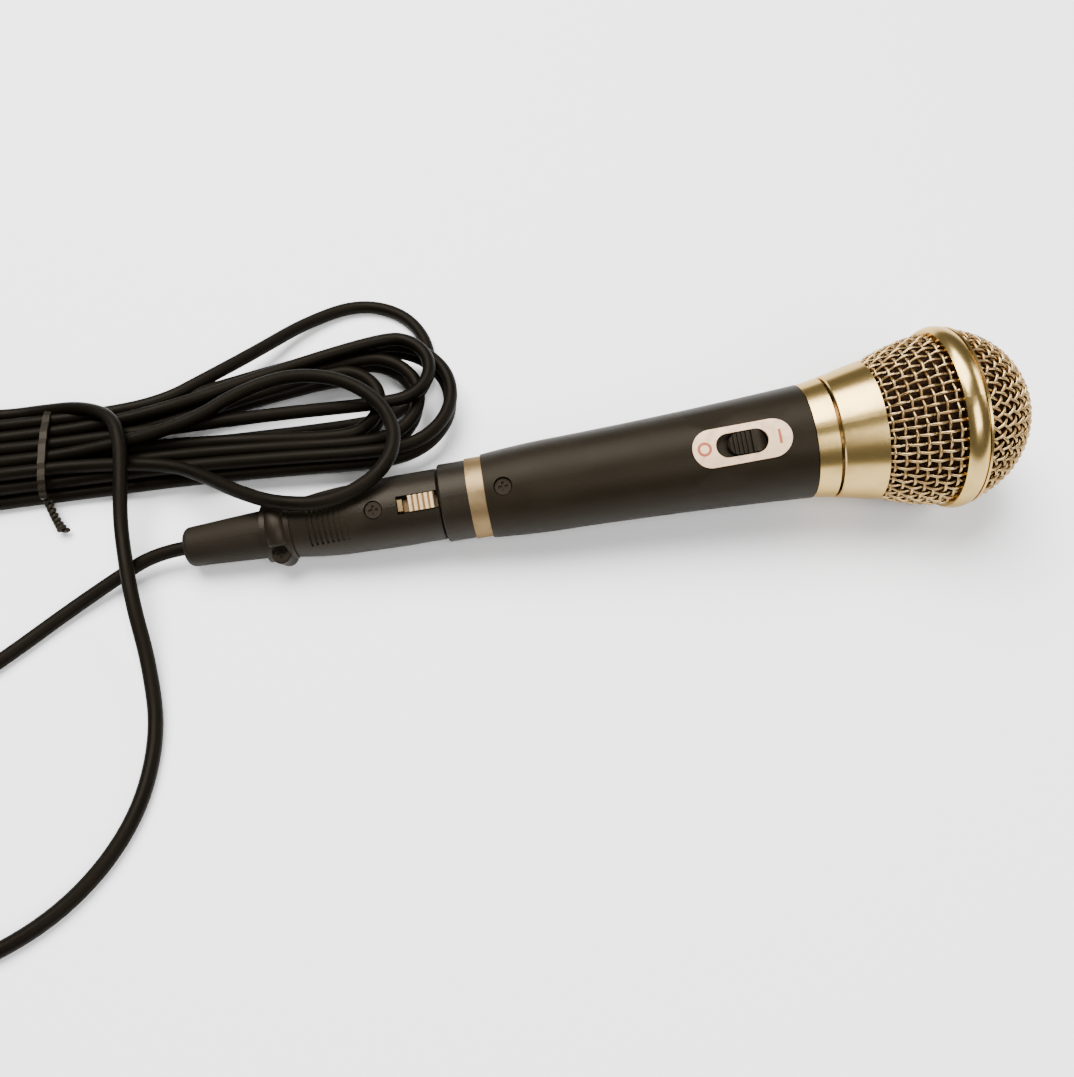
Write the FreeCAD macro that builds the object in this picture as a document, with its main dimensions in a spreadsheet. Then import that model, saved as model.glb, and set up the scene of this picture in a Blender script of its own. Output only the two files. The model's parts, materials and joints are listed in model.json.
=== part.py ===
import FreeCAD, Part
import math
import os
import re
import Sketcher

# A handheld karaoke microphone with an on/off slide switch, plugged into a latching
# three-pole cable connector, whose cord is tied in a hank and ends in a 6.35 mm jack plug.
#
# Every microphone piece is modelled in the microphone's own frame: X runs along its axis from
# the face where the cable connector meets the tail (x = 0) to the head (+X), and +Z is the side
# that carries the switch. One placement, lay(), tips all of them onto the head and the clamp.
# The cord and the jack plug are modelled directly in the part's frame, with the floor at z = 0.

Vector = FreeCAD.Vector
Rotation = FreeCAD.Rotation
Placement = FreeCAD.Placement

SIZES = {
    # how it lies
    "tilt_deg": 5.0,
    "front_deg": 23.3,
    # clearances
    "play": 0.3,
    "seat": 0.05,
    "run_fit": 0.08,
    "chamfer": 0.3,
    "tool_reach": 20.0,
    # tail collar and ring, and the collar's plain spigot inside the shell
    "tail_len": 7.8,
    "tail_rad": 10.95,
    "tail_ring_len": 4.6,
    "tail_ring_rad": 11.3,
    "spigot_rad": 9.9,
    "spigot_len": 12.0,
    # handle shell
    "shell_len": 89.0,
    "shell_wall": 1.6,
    "shell_tail_rad": 11.75,
    "shell_swell_at": 22.0,
    "shell_swell_rad": 13.0,
    "shell_neck_rad": 15.9,
    "shell_swell_arc": 240.0,
    "shell_flare_arc": 1500.0,
    # neck ring and threaded bush
    "neck_len": 6.1,
    "neck_tail_rad": 15.75,
    "neck_head_rad": 16.75,
    "neck_groove": 0.6,
    "bush_rad": 13.6,
    "bush_wall": 1.0,
    "bush_inside": 11.0,
    "thread_len": 7.5,
    "thread_pitch": 1.5,
    "thread_depth": 0.6,
    # head
    "cone_len": 11.2,
    "cone_tail_rad": 17.0,
    "cone_head_rad": 19.4,
    "cone_wall": 1.5,
    "mesh_thick": 1.7,
    "skirt_len": 18.5,
    "skirt_arc": 62.0,
    "band_len": 6.5,
    "band_rad": 25.7,
    "band_fall": 1.1,
    "band_edge_rad": "=band_rad - band_fall",
    "band_lip": 1.1,
    "band_deep": 3.4,
    "band_over_dome": 1.415,
    "dome_rise": 19.4,
    "dome_rad": "=((band_rad - band_over_dome) ^ 2 + dome_rise ^ 2) / (2 * dome_rise)",
    "foam_thick": 2.5,
    # capsule and its shock mount
    "mount_len": 17.0,
    "mount_flange": 2.0,
    "mount_wall": 1.3,
    "case_rad": 12.9,
    "case_wall": 0.8,
    "case_len": 16.0,
    "stem_len": 15.0,
    "cap_thick": 1.4,
    "cap_hole_rad": 1.4,
    "cap_hole_circle": 7.4,
    "pot_rad": 10.2,
    "pot_len": 14.0,
    "pot_wall": 2.6,
    "magnet_rad": 5.4,
    "pole_rad": 6.0,
    "pole_thick": 3.0,
    "coil_gap": 0.3,
    "coil_thick": 0.8,
    "coil_len": 5.4,
    "surround_len": 2.2,
    "diaphragm_thick": 0.3,
    "diaphragm_arc": 12.0,
    # switch
    "switch_back": 19.4,
    "switch_at": "=tail_len + tail_ring_len + shell_len - switch_back",
    "plate_len": 26.5,
    "plate_wide": 10.4,
    "plate_proud": 0.25,
    "plate_sunk": 0.7,
    "slot_len": 14.0,
    "slot_wide": 6.6,
    "knob_len": 10.4,
    "knob_travel": 2.7,
    "knob_side_gap": 0.35,
    "knob_top": 15.6,
    "knob_foot": 12.6,
    "rib_count": 5,
    "rib_pitch": 1.15,
    "can_len": 20.0,
    "can_wide": 7.4,
    "can_high": 5.2,
    "can_wall": 0.5,
    "can_top": 12.0,
    "stem_wide": 2.0,
    "stem_long": 4.0,
    "lug_len": 2.6,
    "lug_pitch": 4.0,
    # microphone socket and tail screw
    "socket_disc": 5.0,
    "socket_depth": 17.0,
    "pin_rad": 1.2,
    "pin_reach": 13.0,
    "pin_back": 5.0,
    "tail_screw_at": 17.5,
    # cable connector
    "nose_rad": 7.9,
    "nose_len": 14.5,
    "nose_back": 21.0,
    "contact_rad": 2.0,
    "contact_wall": 2.0,
    "pin_circle": "=nose_rad - contact_rad - contact_wall",
    "contact_cup": 4.0,
    "plug_joint": 0.35,
    "plug_rad": 10.0,
    "plug_wall": 1.7,
    "plug_straight": 11.7,
    "plug_mid_at": 28.2,
    "plug_mid_rad": 9.5,
    "plug_tail_at": 41.8,
    "plug_tail_rad": 7.9,
    "plug_len": 49.8,
    "plug_arc": 110.0,
    "grip_at": 31.3,
    "grip_count": 8,
    "grip_pitch": 1.5,
    "grip_cut": 0.6,
    "grip_deep": 0.45,
    "grip_swell": 0.15,
    "grip_wide": 13.0,
    "window_at": 6.2,
    "window_len": 11.2,
    "window_wide": 5.0,
    "latch_len": 7.4,
    "latch_wide": 4.4,
    "latch_top": 10.2,
    "latch_high": 1.9,
    "latch_travel": 1.5,
    "latch_shift": 1.2,
    "latch_ribs": 5,
    "leaf_thick": 0.25,
    "insert_screw_at": 18.3,
    # cable clamp and boot
    "clamp_len": 8.0,
    "clamp_gap": 0.2,
    "ear_at": 6.8,
    "ear_rad": 2.75,
    "ear_drop": 4.3,
    "ear_rise": 4.0,
    "boot_rad": 6.8,
    "boot_end_rad": 5.6,
    "boot_len": 22.8,
    "boot_round": 2.0,
    "boot_neck_rad": 4.9,
    "boot_flange_rad": 6.0,
    "boot_flange": 2.4,
    # screws (small Phillips pan heads)
    "screw_head_rad": 2.25,
    "screw_head": 1.1,
    "screw_rad": 1.2,
    "cross_long": 2.6,
    "cross_wide": 0.7,
    "cross_deep": 0.6,
    # cord, wires and hank
    "cord_rad": 2.0,
    "exit_run": 9.0,
    "wire_rad": 0.5,
    "tie_thick": 0.8,
    "tie_wide": 2.4,
    # jack plug
    "jack_rad": 3.175,
    "jack_sleeve_len": 21.0,
    "jack_gap_len": 1.3,
    "jack_tip_len": 8.2,
    "jack_core_rad": 1.5,
    "jack_waist_rad": 2.1,
    "jack_relief": 0.3,
    "barrel_rad": 6.4,
    "barrel_len": 30.0,
    "barrel_wall": 1.2,
    "jack_boot_rad": 3.6,
    "jack_boot_len": 14.0,
    "jack_flange_len": 2.0,
}

# The cord's free stretches, in the part's frame: from the boot to the hank, the loose front
# loop, the high back loop, and from the hank to the jack plug.
LEAD_ROUTE = [
    (-138.0, -5.6, 4.0), (-151.0, -12.8, 2.05), (-168.0, -25.4, 2.05),
    (-191.0, -40.0, 2.05), (-213.0, -57.0, 2.05), (-222.0, -76.0, 2.05), (-213.0, -94.0, 2.05),
    (-192.0, -104.0, 2.05), (-167.0, -103.0, 2.05), (-145.0, -93.0, 2.05), (-130.0, -75.0, 2.05),
    (-125.0, -53.0, 2.05), (-127.5, -33.0, 4.4), (-131.0, -17.0, 9.2), (-133.5, -3.0, 10.2),
    (-135.0, 9.5, 11.6), (-134.5, 21.5, 14.6), (-134.5, 32.0, 16.6), (-137.5, 42.0, 16.4),
    (-148.0, 49.3, 13.0), (-161.0, 51.6, 9.8), (-172.0, 52.0, 9.6),
]
FRONT_LOOP_ROUTE = [
    (-116.0, 37.0, 14.8), (-101.0, 43.5, 18.4), (-84.5, 46.0, 21.0), (-69.0, 40.5, 22.5),
    (-58.5, 29.0, 23.6), (-55.5, 15.0, 24.6), (-62.0, 3.8, 24.2), (-75.5, -1.6, 22.8),
    (-89.5, 1.0, 21.8), (-101.0, 9.0, 18.0), (-111.0, 18.5, 13.6), (-122.5, 26.5, 11.0),
]
BACK_LOOP_ROUTE = [
    (-126.0, 49.5, 10.4), (-112.0, 57.5, 10.0), (-98.0, 69.0, 6.4), (-82.5, 82.0, 3.0),
    (-65.0, 88.5, 2.05), (-50.0, 81.5, 2.05), (-43.5, 66.5, 2.05), (-46.0, 51.0, 2.05),
    (-56.5, 41.0, 2.05), (-71.0, 38.5, 2.1),
]
JACK_ROUTE = [
    (-173.5, 49.9, 6.2), (-181.5, 51.5, 6.9), (-191.0, 56.5, 7.0), (-197.2, 65.0, 5.0),
    (-204.5, 72.3, 4.6), (-212.8, 77.0, 6.45),
]
# The hank's outer form: place along X, centre Y and Z, half width and half height.
HANK_SECTIONS = [
    (-284.0, 42.0, 5.5, 8.0, 3.5), (-273.0, 42.0, 7.5, 18.0, 6.6), (-235.0, 41.0, 7.7, 20.0, 7.4),
    (-195.0, 40.0, 7.1, 17.0, 6.8), (-160.0, 39.0, 7.1, 15.5, 6.3), (-130.0, 39.5, 7.1, 17.0, 6.7),
    (-95.0, 42.0, 8.1, 22.0, 7.8), (-62.0, 43.5, 8.6, 24.0, 8.3), (-42.0, 43.5, 8.2, 18.0, 6.8),
    (-33.0, 43.5, 7.5, 8.0, 3.5),
]
TIE_AT = -160.0
JACK_PLACE = (-238.0, 77.0, 6.45)

doc = FreeCAD.newDocument("karaoke_microphone")
sheet = doc.addObject("Spreadsheet::Sheet", "dims")
pieces = {}


def fill_sheet():
    for row, (alias, value) in enumerate(SIZES.items(), 1):
        sheet.set(f"A{row}", alias)
        sheet.set(f"B{row}", str(value))
        sheet.setAlias(f"B{row}", alias)
    doc.recompute()


def size(expression):
    """The value of an expression in the sheet's aliases, in millimetres or degrees."""
    return float(sheet.evalExpression(str(expression)))


def bound(expression):
    """The same expression as an object property needs it, with the sheet named."""
    named = lambda word: "dims." + word.group(0) if word.group(0) in SIZES else word.group(0)
    return re.sub(r"[a-z_][a-z_0-9]*", named, str(expression))


def fresh(kind, name):
    return doc.addObject(kind, name)


def bind(thing, **properties):
    """Bind properties to expressions; a double underscore stands for a dot."""
    for name, expression in properties.items():
        thing.setExpression(name.replace("__", "."), bound(expression))
    return thing


def moved(thing, x=0, y=0, z=0):
    return bind(thing, Placement__Base__x=x, Placement__Base__y=y, Placement__Base__z=z)


# --- building blocks -------------------------------------------------------------------------

def block(name, x, y, z):
    """A box between two expressions along each axis."""
    box = fresh("Part::Box", name)
    bind(box, Length=f"({x[1]}) - ({x[0]})", Width=f"({y[1]}) - ({y[0]})", Height=f"({z[1]}) - ({z[0]})")
    return moved(box, x[0], y[0], z[0])


AXIS_TURN = {
    "x": Rotation(Vector(0, 1, 0), 90),
    "y": Rotation(Vector(1, 0, 0), -90),
    "z": Rotation(),
}


def rod(name, axis, radius, length, x=0, y=0, z=0):
    """A round bar that starts at a point and runs along +X, +Y or +Z."""
    bar = fresh("Part::Cylinder", name)
    bar.Placement = Placement(Vector(), AXIS_TURN[axis])
    bind(bar, Radius=radius, Height=length)
    return moved(bar, x, y, z)


def fuse(name, *parts):
    whole = fresh("Part::MultiFuse", name)
    whole.Shapes = list(parts)
    whole.Refine = True
    return whole


def cut(name, base, *tools):
    result = fresh("Part::Cut", name)
    result.Base = base
    result.Tool = tools[0] if len(tools) == 1 else fuse(name + "_tools", *tools)
    return result


def common(name, *parts):
    shared = fresh("Part::MultiCommon", name)
    shared.Shapes = list(parts)
    return shared


def stadium(name, middle, length, width, low, high):
    """A slot-shaped prism: round ends along X, standing along Z."""
    flat = f"(({length}) - ({width})) / 2"
    reach = f"({width}) / 2"
    tall = f"({high}) - ({low})"
    bar = block(name + "_bar", (f"({middle}) - {flat}", f"({middle}) + {flat}"), (f"-{reach}", reach),
                (low, high))
    tail = rod(name + "_tail", "z", reach, tall, f"({middle}) - {flat}", 0, low)
    head = rod(name + "_head", "z", reach, tall, f"({middle}) + {flat}", 0, low)
    return fuse(name, bar, tail, head)


def arc_centre(start, end, radius, side):
    """Centre of the shorter arc; side +1 puts it on the left of start to end, -1 on the right."""
    chord = end - start
    middle = (start + end) * 0.5
    rise = math.sqrt(radius ** 2 - (chord.Length / 2) ** 2)
    return middle + Vector(-chord.y, chord.x, 0).normalize() * rise * side


def outline(body, plane, points):
    """A closed sketch through points of expressions. A point may add (radius, side): the edge
    that leaves it is then an arc, with its centre on that side."""
    sketch = body.newObject("Sketcher::SketchObject", body.Name + "_outline")
    face = next(f for f in body.Origin.OriginFeatures if f.Role == plane)
    sketch.AttachmentSupport = [(face, "")]
    sketch.MapMode = "FlatFace"
    corners = [Vector(size(p[0]), size(p[1]), 0) for p in points]
    starts, ends = [], []
    for i, point in enumerate(points):
        here, there = corners[i], corners[(i + 1) % len(points)]
        if len(point) == 2:
            sketch.addGeometry(Part.LineSegment(here, there), False)
            starts.append((i, 1))
            ends.append((i, 2))
            continue
        radius, side = point[2]
        centre = arc_centre(here, there, size(radius), side)
        first, last = (here, there) if side > 0 else (there, here)
        angles = [math.atan2(p.y - centre.y, p.x - centre.x) for p in (first, last)]
        circle = Part.Circle(centre, Vector(0, 0, 1), size(radius))
        sketch.addGeometry(Part.ArcOfCircle(circle, angles[0], angles[1]), False)
        starts.append((i, 1 if side > 0 else 2))
        ends.append((i, 2 if side > 0 else 1))
    for i, end in enumerate(ends):
        sketch.addConstraint(Sketcher.Constraint("Coincident", *end, *starts[(i + 1) % len(starts)]))
    for i, point in enumerate(points):
        along = ("DistanceX", corners[i].x, point[0])
        outward = ("DistanceY", corners[i].y, point[1])
        for kind, value, expression in (along, outward):
            number = sketch.addConstraint(Sketcher.Constraint(kind, -1, 1, *starts[i], value))
            sketch.setExpression(f"Constraints[{number}]", bound(expression))
        if len(point) == 3:
            number = sketch.addConstraint(Sketcher.Constraint("Radius", i, size(point[2][0])))
            sketch.setExpression(f"Constraints[{number}]", bound(point[2][0]))
    return sketch


def turned(name, points):
    """A solid of revolution about X from its (x, radius) outline."""
    body = fresh("PartDesign::Body", name)
    sketch = outline(body, "XZ_Plane", points)
    turn = body.newObject("PartDesign::Revolution", name + "_turn")
    turn.Profile = sketch
    turn.ReferenceAxis = (sketch, ["H_Axis"])
    turn.Angle = 360
    return body


def tube(name, x_from, x_to, outer, inner):
    """A plain round sleeve about X."""
    return turned(name, [(x_from, inner), (x_to, inner), (x_to, outer), (x_from, outer)])


def solid_bar(name, x_from, x_to, radius):
    """A plain round bar on the X axis."""
    return turned(name, [(x_from, "0"), (x_from, radius), (x_to, radius), (x_to, "0")])


def extruded(name, points, width):
    """A side outline in X and Z, as wide as given and centred on y = 0."""
    body = fresh("PartDesign::Body", name)
    sketch = outline(body, "XZ_Plane", points)
    pad = body.newObject("PartDesign::Pad", name + "_pad")
    pad.Profile = sketch
    pad.Midplane = True
    bind(pad, Length=width)
    return body


def keep(node, thing):
    """Name a finished sub-part after its node."""
    thing.Label = node
    pieces[node] = thing
    return thing


def screw(name, x, y, head_low, shank_low):
    """A small pan-head screw standing along +Z, with a cross recess."""
    top = f"({head_low}) + screw_head"
    head = rod(name + "_head", "z", "screw_head_rad", "screw_head", x, y, head_low)
    shank = rod(name + "_shank", "z", "screw_rad", f"({head_low}) - ({shank_low})", x, y, shank_low)
    arms = []
    for arm, (along, across) in enumerate((("cross_long", "cross_wide"), ("cross_wide", "cross_long"))):
        spread_x = (f"({x}) - {along} / 2", f"({x}) + {along} / 2")
        spread_y = (f"({y}) - {across} / 2", f"({y}) + {across} / 2")
        arms.append(block(f"{name}_arm{arm}", spread_x, spread_y, (f"{top} - cross_deep", f"{top} + 1")))
    return cut(name, fuse(name + "_solid", head, shank), *arms)


# --- stations along the microphone, as expressions -------------------------------------------

SHELL_TAIL = "(tail_len + tail_ring_len)"
SHELL_HEAD = f"({SHELL_TAIL} + shell_len)"
CONE_TAIL = f"({SHELL_HEAD} + neck_len + neck_groove)"
CONE_HEAD = f"({CONE_TAIL} + cone_len)"
BAND_TAIL = f"({CONE_HEAD} + skirt_len)"
BAND_HEAD = f"({BAND_TAIL} + band_len)"
DOME_TIP = f"({BAND_HEAD} + dome_rise)"
DOME_CENTRE = f"({DOME_TIP} - dome_rad)"
DOME_EDGE_RAD = "sqrt(dome_rad ^ 2 - (dome_rad - dome_rise) ^ 2)"
BUSH_HEAD = f"({CONE_TAIL} + thread_len)"
BORE = "(nose_rad + play)"
SWELL_AT = f"({SHELL_TAIL} + shell_swell_at)"


def shell_skin(name, outward, inward):
    """The handle's outer skin, from a depth inward to a height outward of its surface."""
    swell, flare = ("shell_swell_arc", -1), ("shell_flare_arc", 1)
    back_swell, back_flare = ("shell_swell_arc", 1), ("shell_flare_arc", -1)
    return turned(name, [
        (SHELL_TAIL, f"shell_tail_rad + {outward}", swell),
        (SWELL_AT, f"shell_swell_rad + {outward}", flare),
        (SHELL_HEAD, f"shell_neck_rad + {outward}"),
        (SHELL_HEAD, f"shell_neck_rad - {inward}", back_flare),
        (SWELL_AT, f"shell_swell_rad - {inward}", back_swell),
        (SHELL_TAIL, f"shell_tail_rad - {inward}"),
    ])


# --- handle ----------------------------------------------------------------------------------

def make_handle_shell():
    shell = shell_skin("shell_tube", "0", "shell_wall")
    recess_skin = shell_skin("recess_skin", "1", "plate_sunk")
    recess_plan = stadium("recess_plan", "switch_at", "plate_len + 2 * seat", "plate_wide + 2 * seat", 5, 20)
    recess = common("recess", recess_skin, recess_plan)
    window = stadium("slot_window", "switch_at", "slot_len + 2 * seat", "slot_wide + 2 * seat", 5, 20)
    well = rod("screw_well", "z", "screw_head_rad + play", 12, "tail_screw_at", 0, 5)
    keep("handle_shell", cut("handle_shell", shell, recess, window, well))


def make_tail():
    spigot_end = f"{SHELL_TAIL} + spigot_len"
    collar = turned("collar_turned", [
        ("0", BORE), (spigot_end, BORE), (spigot_end, "spigot_rad"), ("tail_len", "spigot_rad"),
        ("tail_len", "tail_rad"), ("0.4", "tail_rad"), ("0", "tail_rad - 0.4"),
    ])
    thread = rod("screw_thread", "z", "screw_rad + seat", 6, "tail_screw_at", 0, "spigot_rad - 1.4")
    keep("tail_collar", cut("tail_collar", collar, thread))
    keep("tail_ring", turned("tail_ring", [
        ("tail_len", "spigot_rad + seat"), (SHELL_TAIL, "spigot_rad + seat"),
        (SHELL_TAIL, "tail_ring_rad"), ("tail_len", "tail_ring_rad"),
    ]))
    keep("tail_screw", screw("tail_screw", "tail_screw_at", 0, "spigot_rad + seat", "spigot_rad - 1.3"))


def pin_places():
    """The three contacts of the connector stand on a circle, a quarter turn apart."""
    return [("pin_circle", "0"), ("0", "pin_circle"), ("-pin_circle", "0")]


def make_socket():
    disc = rod("socket_blank", "x", f"{BORE} - seat", "socket_disc", "socket_depth")
    holes = []
    pins = []
    length = "pin_reach + socket_disc + pin_back"
    for i, (y, z) in enumerate(pin_places()):
        holes.append(rod(f"pin_hole{i}", "x", "pin_rad + seat", 20, "socket_depth - 5", y, z))
        pins.append(rod(f"pin{i}", "x", "pin_rad", length, "socket_depth - pin_reach", y, z))
    keep("socket_insert", cut("socket_insert", disc, *holes))
    keep("socket_pins", fuse("socket_pins", *pins))


def make_neck():
    keep("neck_ring", turned("neck_ring", [
        (SHELL_HEAD, "bush_rad + seat"), (f"{SHELL_HEAD} + neck_len", "bush_rad + seat"),
        (f"{SHELL_HEAD} + neck_len", "neck_head_rad - chamfer"),
        (f"{SHELL_HEAD} + neck_len - chamfer", "neck_head_rad"),
        (f"{SHELL_HEAD} + chamfer", "neck_tail_rad"), (SHELL_HEAD, "neck_tail_rad - chamfer"),
    ]))
    points = [(f"{SHELL_HEAD} - bush_inside", "bush_rad - bush_wall"), (BUSH_HEAD, "bush_rad - bush_wall"),
              (BUSH_HEAD, "bush_rad")]
    turns = int(size("thread_len / thread_pitch")) - 1
    for i in range(turns):
        crest = f"{BUSH_HEAD} - thread_pitch * {i + 1}"
        points.append((f"{crest} + thread_pitch / 2", "bush_rad"))
        points.append((crest, "bush_rad + thread_depth"))
    points.append((f"{BUSH_HEAD} - thread_pitch * {turns + 0.5}", "bush_rad"))
    points.append((f"{SHELL_HEAD} - bush_inside", "bush_rad"))
    keep("thread_bush", turned("thread_bush", points))


# --- head ------------------------------------------------------------------------------------

def make_head():
    collar_bore = "bush_rad + thread_depth + play"
    keep("head_collar", turned("head_collar", [
        (CONE_TAIL, collar_bore), (CONE_TAIL, "cone_tail_rad - chamfer"),
        (f"{CONE_TAIL} + chamfer", "cone_tail_rad"),
        (CONE_HEAD, "cone_head_rad"), (CONE_HEAD, "cone_head_rad - cone_wall"),
        (f"{BUSH_HEAD} + 1", "cone_head_rad - cone_wall - 0.8"), (BUSH_HEAD, collar_bore),
    ]))
    keep("grille_skirt", turned("grille_skirt", [
        (CONE_HEAD, "cone_head_rad - 0.3", ("skirt_arc", -1)), (BAND_TAIL, "band_edge_rad - 0.4"),
        (BAND_TAIL, "band_edge_rad - 0.4 - mesh_thick", ("skirt_arc", 1)),
        (CONE_HEAD, "cone_head_rad - 0.3 - mesh_thick"),
    ]))
    crown = f"{BAND_HEAD} - band_lip"
    keep("grille_band", turned("grille_band", [
        (BAND_TAIL, "band_rad - band_deep"),
        (BAND_TAIL, "band_edge_rad", ("(band_len - band_lip) * 0.9", -1)),
        (crown, "band_edge_rad"), (crown, "band_edge_rad - 0.3"), (f"{crown} + 0.2", "band_edge_rad - 0.3"),
        (f"{crown} + 0.3", "band_edge_rad + 0.1"), (f"{BAND_HEAD} - 0.2", "band_edge_rad + 0.1"),
        (BAND_HEAD, "band_edge_rad - 0.2"), (BAND_HEAD, "band_rad - band_deep"),
    ]))
    inner_edge = "sqrt((dome_rad - mesh_thick) ^ 2 - (dome_rad - dome_rise) ^ 2)"
    keep("grille_dome", turned("grille_dome", [
        (DOME_TIP, "0"), (f"{DOME_TIP} - mesh_thick", "0", ("dome_rad - mesh_thick", 1)),
        (BAND_HEAD, inner_edge), (BAND_HEAD, DOME_EDGE_RAD, ("dome_rad", -1)),
    ]))


def make_foam():
    outer = "(dome_rad - mesh_thick - 0.3)"
    inner = f"({outer} - foam_thick)"
    tail = f"{CONE_HEAD} + 1"
    band_rad = f"sqrt({outer} ^ 2 - (dome_rad - dome_rise) ^ 2)"
    inner_band_rad = f"sqrt({inner} ^ 2 - (dome_rad - dome_rise) ^ 2)"
    keep("foam_liner", turned("foam_liner", [
        (tail, "cone_head_rad - mesh_thick - foam_thick - 0.5"), (tail, "cone_head_rad - mesh_thick - 0.7"),
        (BAND_TAIL, "band_rad - band_deep - seat"), (f"{BAND_HEAD} - 0.4", "band_rad - band_deep - seat"),
        (BAND_HEAD, band_rad, (outer, -1)), (f"{DOME_CENTRE} + {outer}", "0"),
        (f"{DOME_CENTRE} + {inner}", "0", (inner, 1)), (BAND_HEAD, inner_band_rad),
        (BAND_TAIL, "band_rad - band_deep - seat - foam_thick"),
    ]))


# --- capsule ---------------------------------------------------------------------------------

CASE_BACK = f"({BUSH_HEAD} + mount_flange)"
CASE_FRONT = f"({CASE_BACK} + case_len)"
STEM_RAD = "(bush_rad - bush_wall - seat - mount_wall - seat)"
POT_BACK = f"({CASE_FRONT} - surround_len - pot_len - 3)"
POT_FRONT = f"({POT_BACK} + pot_len)"


def make_shock_mount():
    grip = "bush_rad - bush_wall - seat"
    keep("shock_mount", turned("shock_mount", [
        (f"{BUSH_HEAD} - mount_len", f"{STEM_RAD} + seat"), (CASE_BACK, f"{STEM_RAD} + seat"),
        (CASE_BACK, "bush_rad"), (BUSH_HEAD, "bush_rad"), (BUSH_HEAD, grip),
        (f"{BUSH_HEAD} - mount_len", grip),
    ]))


def make_capsule_case():
    back = f"{CASE_BACK} - stem_len"
    keep("capsule_case", turned("capsule_case", [
        (back, "0"), (back, STEM_RAD), (CASE_BACK, STEM_RAD), (CASE_BACK, "case_rad"),
        (CASE_FRONT, "case_rad"), (CASE_FRONT, "case_rad - case_wall"),
        (f"{CASE_BACK} + case_wall", "case_rad - case_wall"),
        (f"{CASE_BACK} + case_wall", f"{STEM_RAD} - case_wall"),
        (f"{back} + case_wall", f"{STEM_RAD} - case_wall"), (f"{back} + case_wall", "0"),
    ]))
    disc = rod("cap_blank", "x", "case_rad", "cap_thick", CASE_FRONT)
    hole = rod("cap_hole", "x", "cap_hole_rad", 10, f"{CASE_FRONT} - 5")
    ring = []
    for i in range(6):
        angle = i * 60
        ring.append(rod(f"cap_hole{i}", "x", "cap_hole_rad", 10, f"{CASE_FRONT} - 5",
                        f"cap_hole_circle * cos({angle} deg)", f"cap_hole_circle * sin({angle} deg)"))
    keep("capsule_cap", cut("capsule_cap", disc, hole, *ring))


def make_motor():
    floor = f"{POT_BACK} + pot_wall"
    keep("magnet_pot", turned("magnet_pot", [
        (POT_BACK, "0"), (POT_BACK, "pot_rad"), (POT_FRONT, "pot_rad"), (POT_FRONT, "pot_rad - pot_wall"),
        (floor, "pot_rad - pot_wall"), (floor, "0"),
    ]))
    pole_back = f"{POT_FRONT} - pole_thick"
    keep("magnet", solid_bar("magnet", floor, pole_back, "magnet_rad"))
    keep("pole_piece", solid_bar("pole_piece", pole_back, POT_FRONT, "pole_rad"))
    seat_at = f"({POT_FRONT} + surround_len)"
    keep("voice_coil", tube("voice_coil", f"{seat_at} - coil_len", seat_at,
                            "pole_rad + coil_gap + coil_thick", "pole_rad + coil_gap"))
    keep("diaphragm_ring", tube("diaphragm_ring", POT_FRONT, seat_at,
                                "case_rad - case_wall - seat", "pot_rad - 0.7"))
    crown_rad = "(pole_rad + coil_gap + coil_thick)"
    rise = f"(diaphragm_arc - sqrt(diaphragm_arc ^ 2 - {crown_rad} ^ 2))"
    keep("diaphragm", turned("diaphragm", [
        (seat_at, "case_rad - case_wall - 0.3"),
        (f"{seat_at} + diaphragm_thick", "case_rad - case_wall - 0.3"),
        (f"{seat_at} + diaphragm_thick", crown_rad, ("diaphragm_arc", -1)),
        (f"{seat_at} + diaphragm_thick + {rise}", "0"), (f"{seat_at} + {rise}", "0", ("diaphragm_arc", 1)),
        (seat_at, crown_rad),
    ]))


# --- switch ----------------------------------------------------------------------------------

KNOB_HEAD = "(switch_at + slot_len / 2 - play)"
KNOB_TAIL = f"({KNOB_HEAD} - knob_len)"


def make_switch_plate():
    skin = shell_skin("plate_skin", "plate_proud", "(plate_sunk - seat)")
    plan = stadium("plate_plan", "switch_at", "plate_len", "plate_wide", 5, 20)
    slot = stadium("plate_slot", "switch_at", "slot_len", "slot_wide", 5, 20)
    keep("switch_plate", cut("switch_plate", common("plate_blank", skin, plan), slot))


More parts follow.
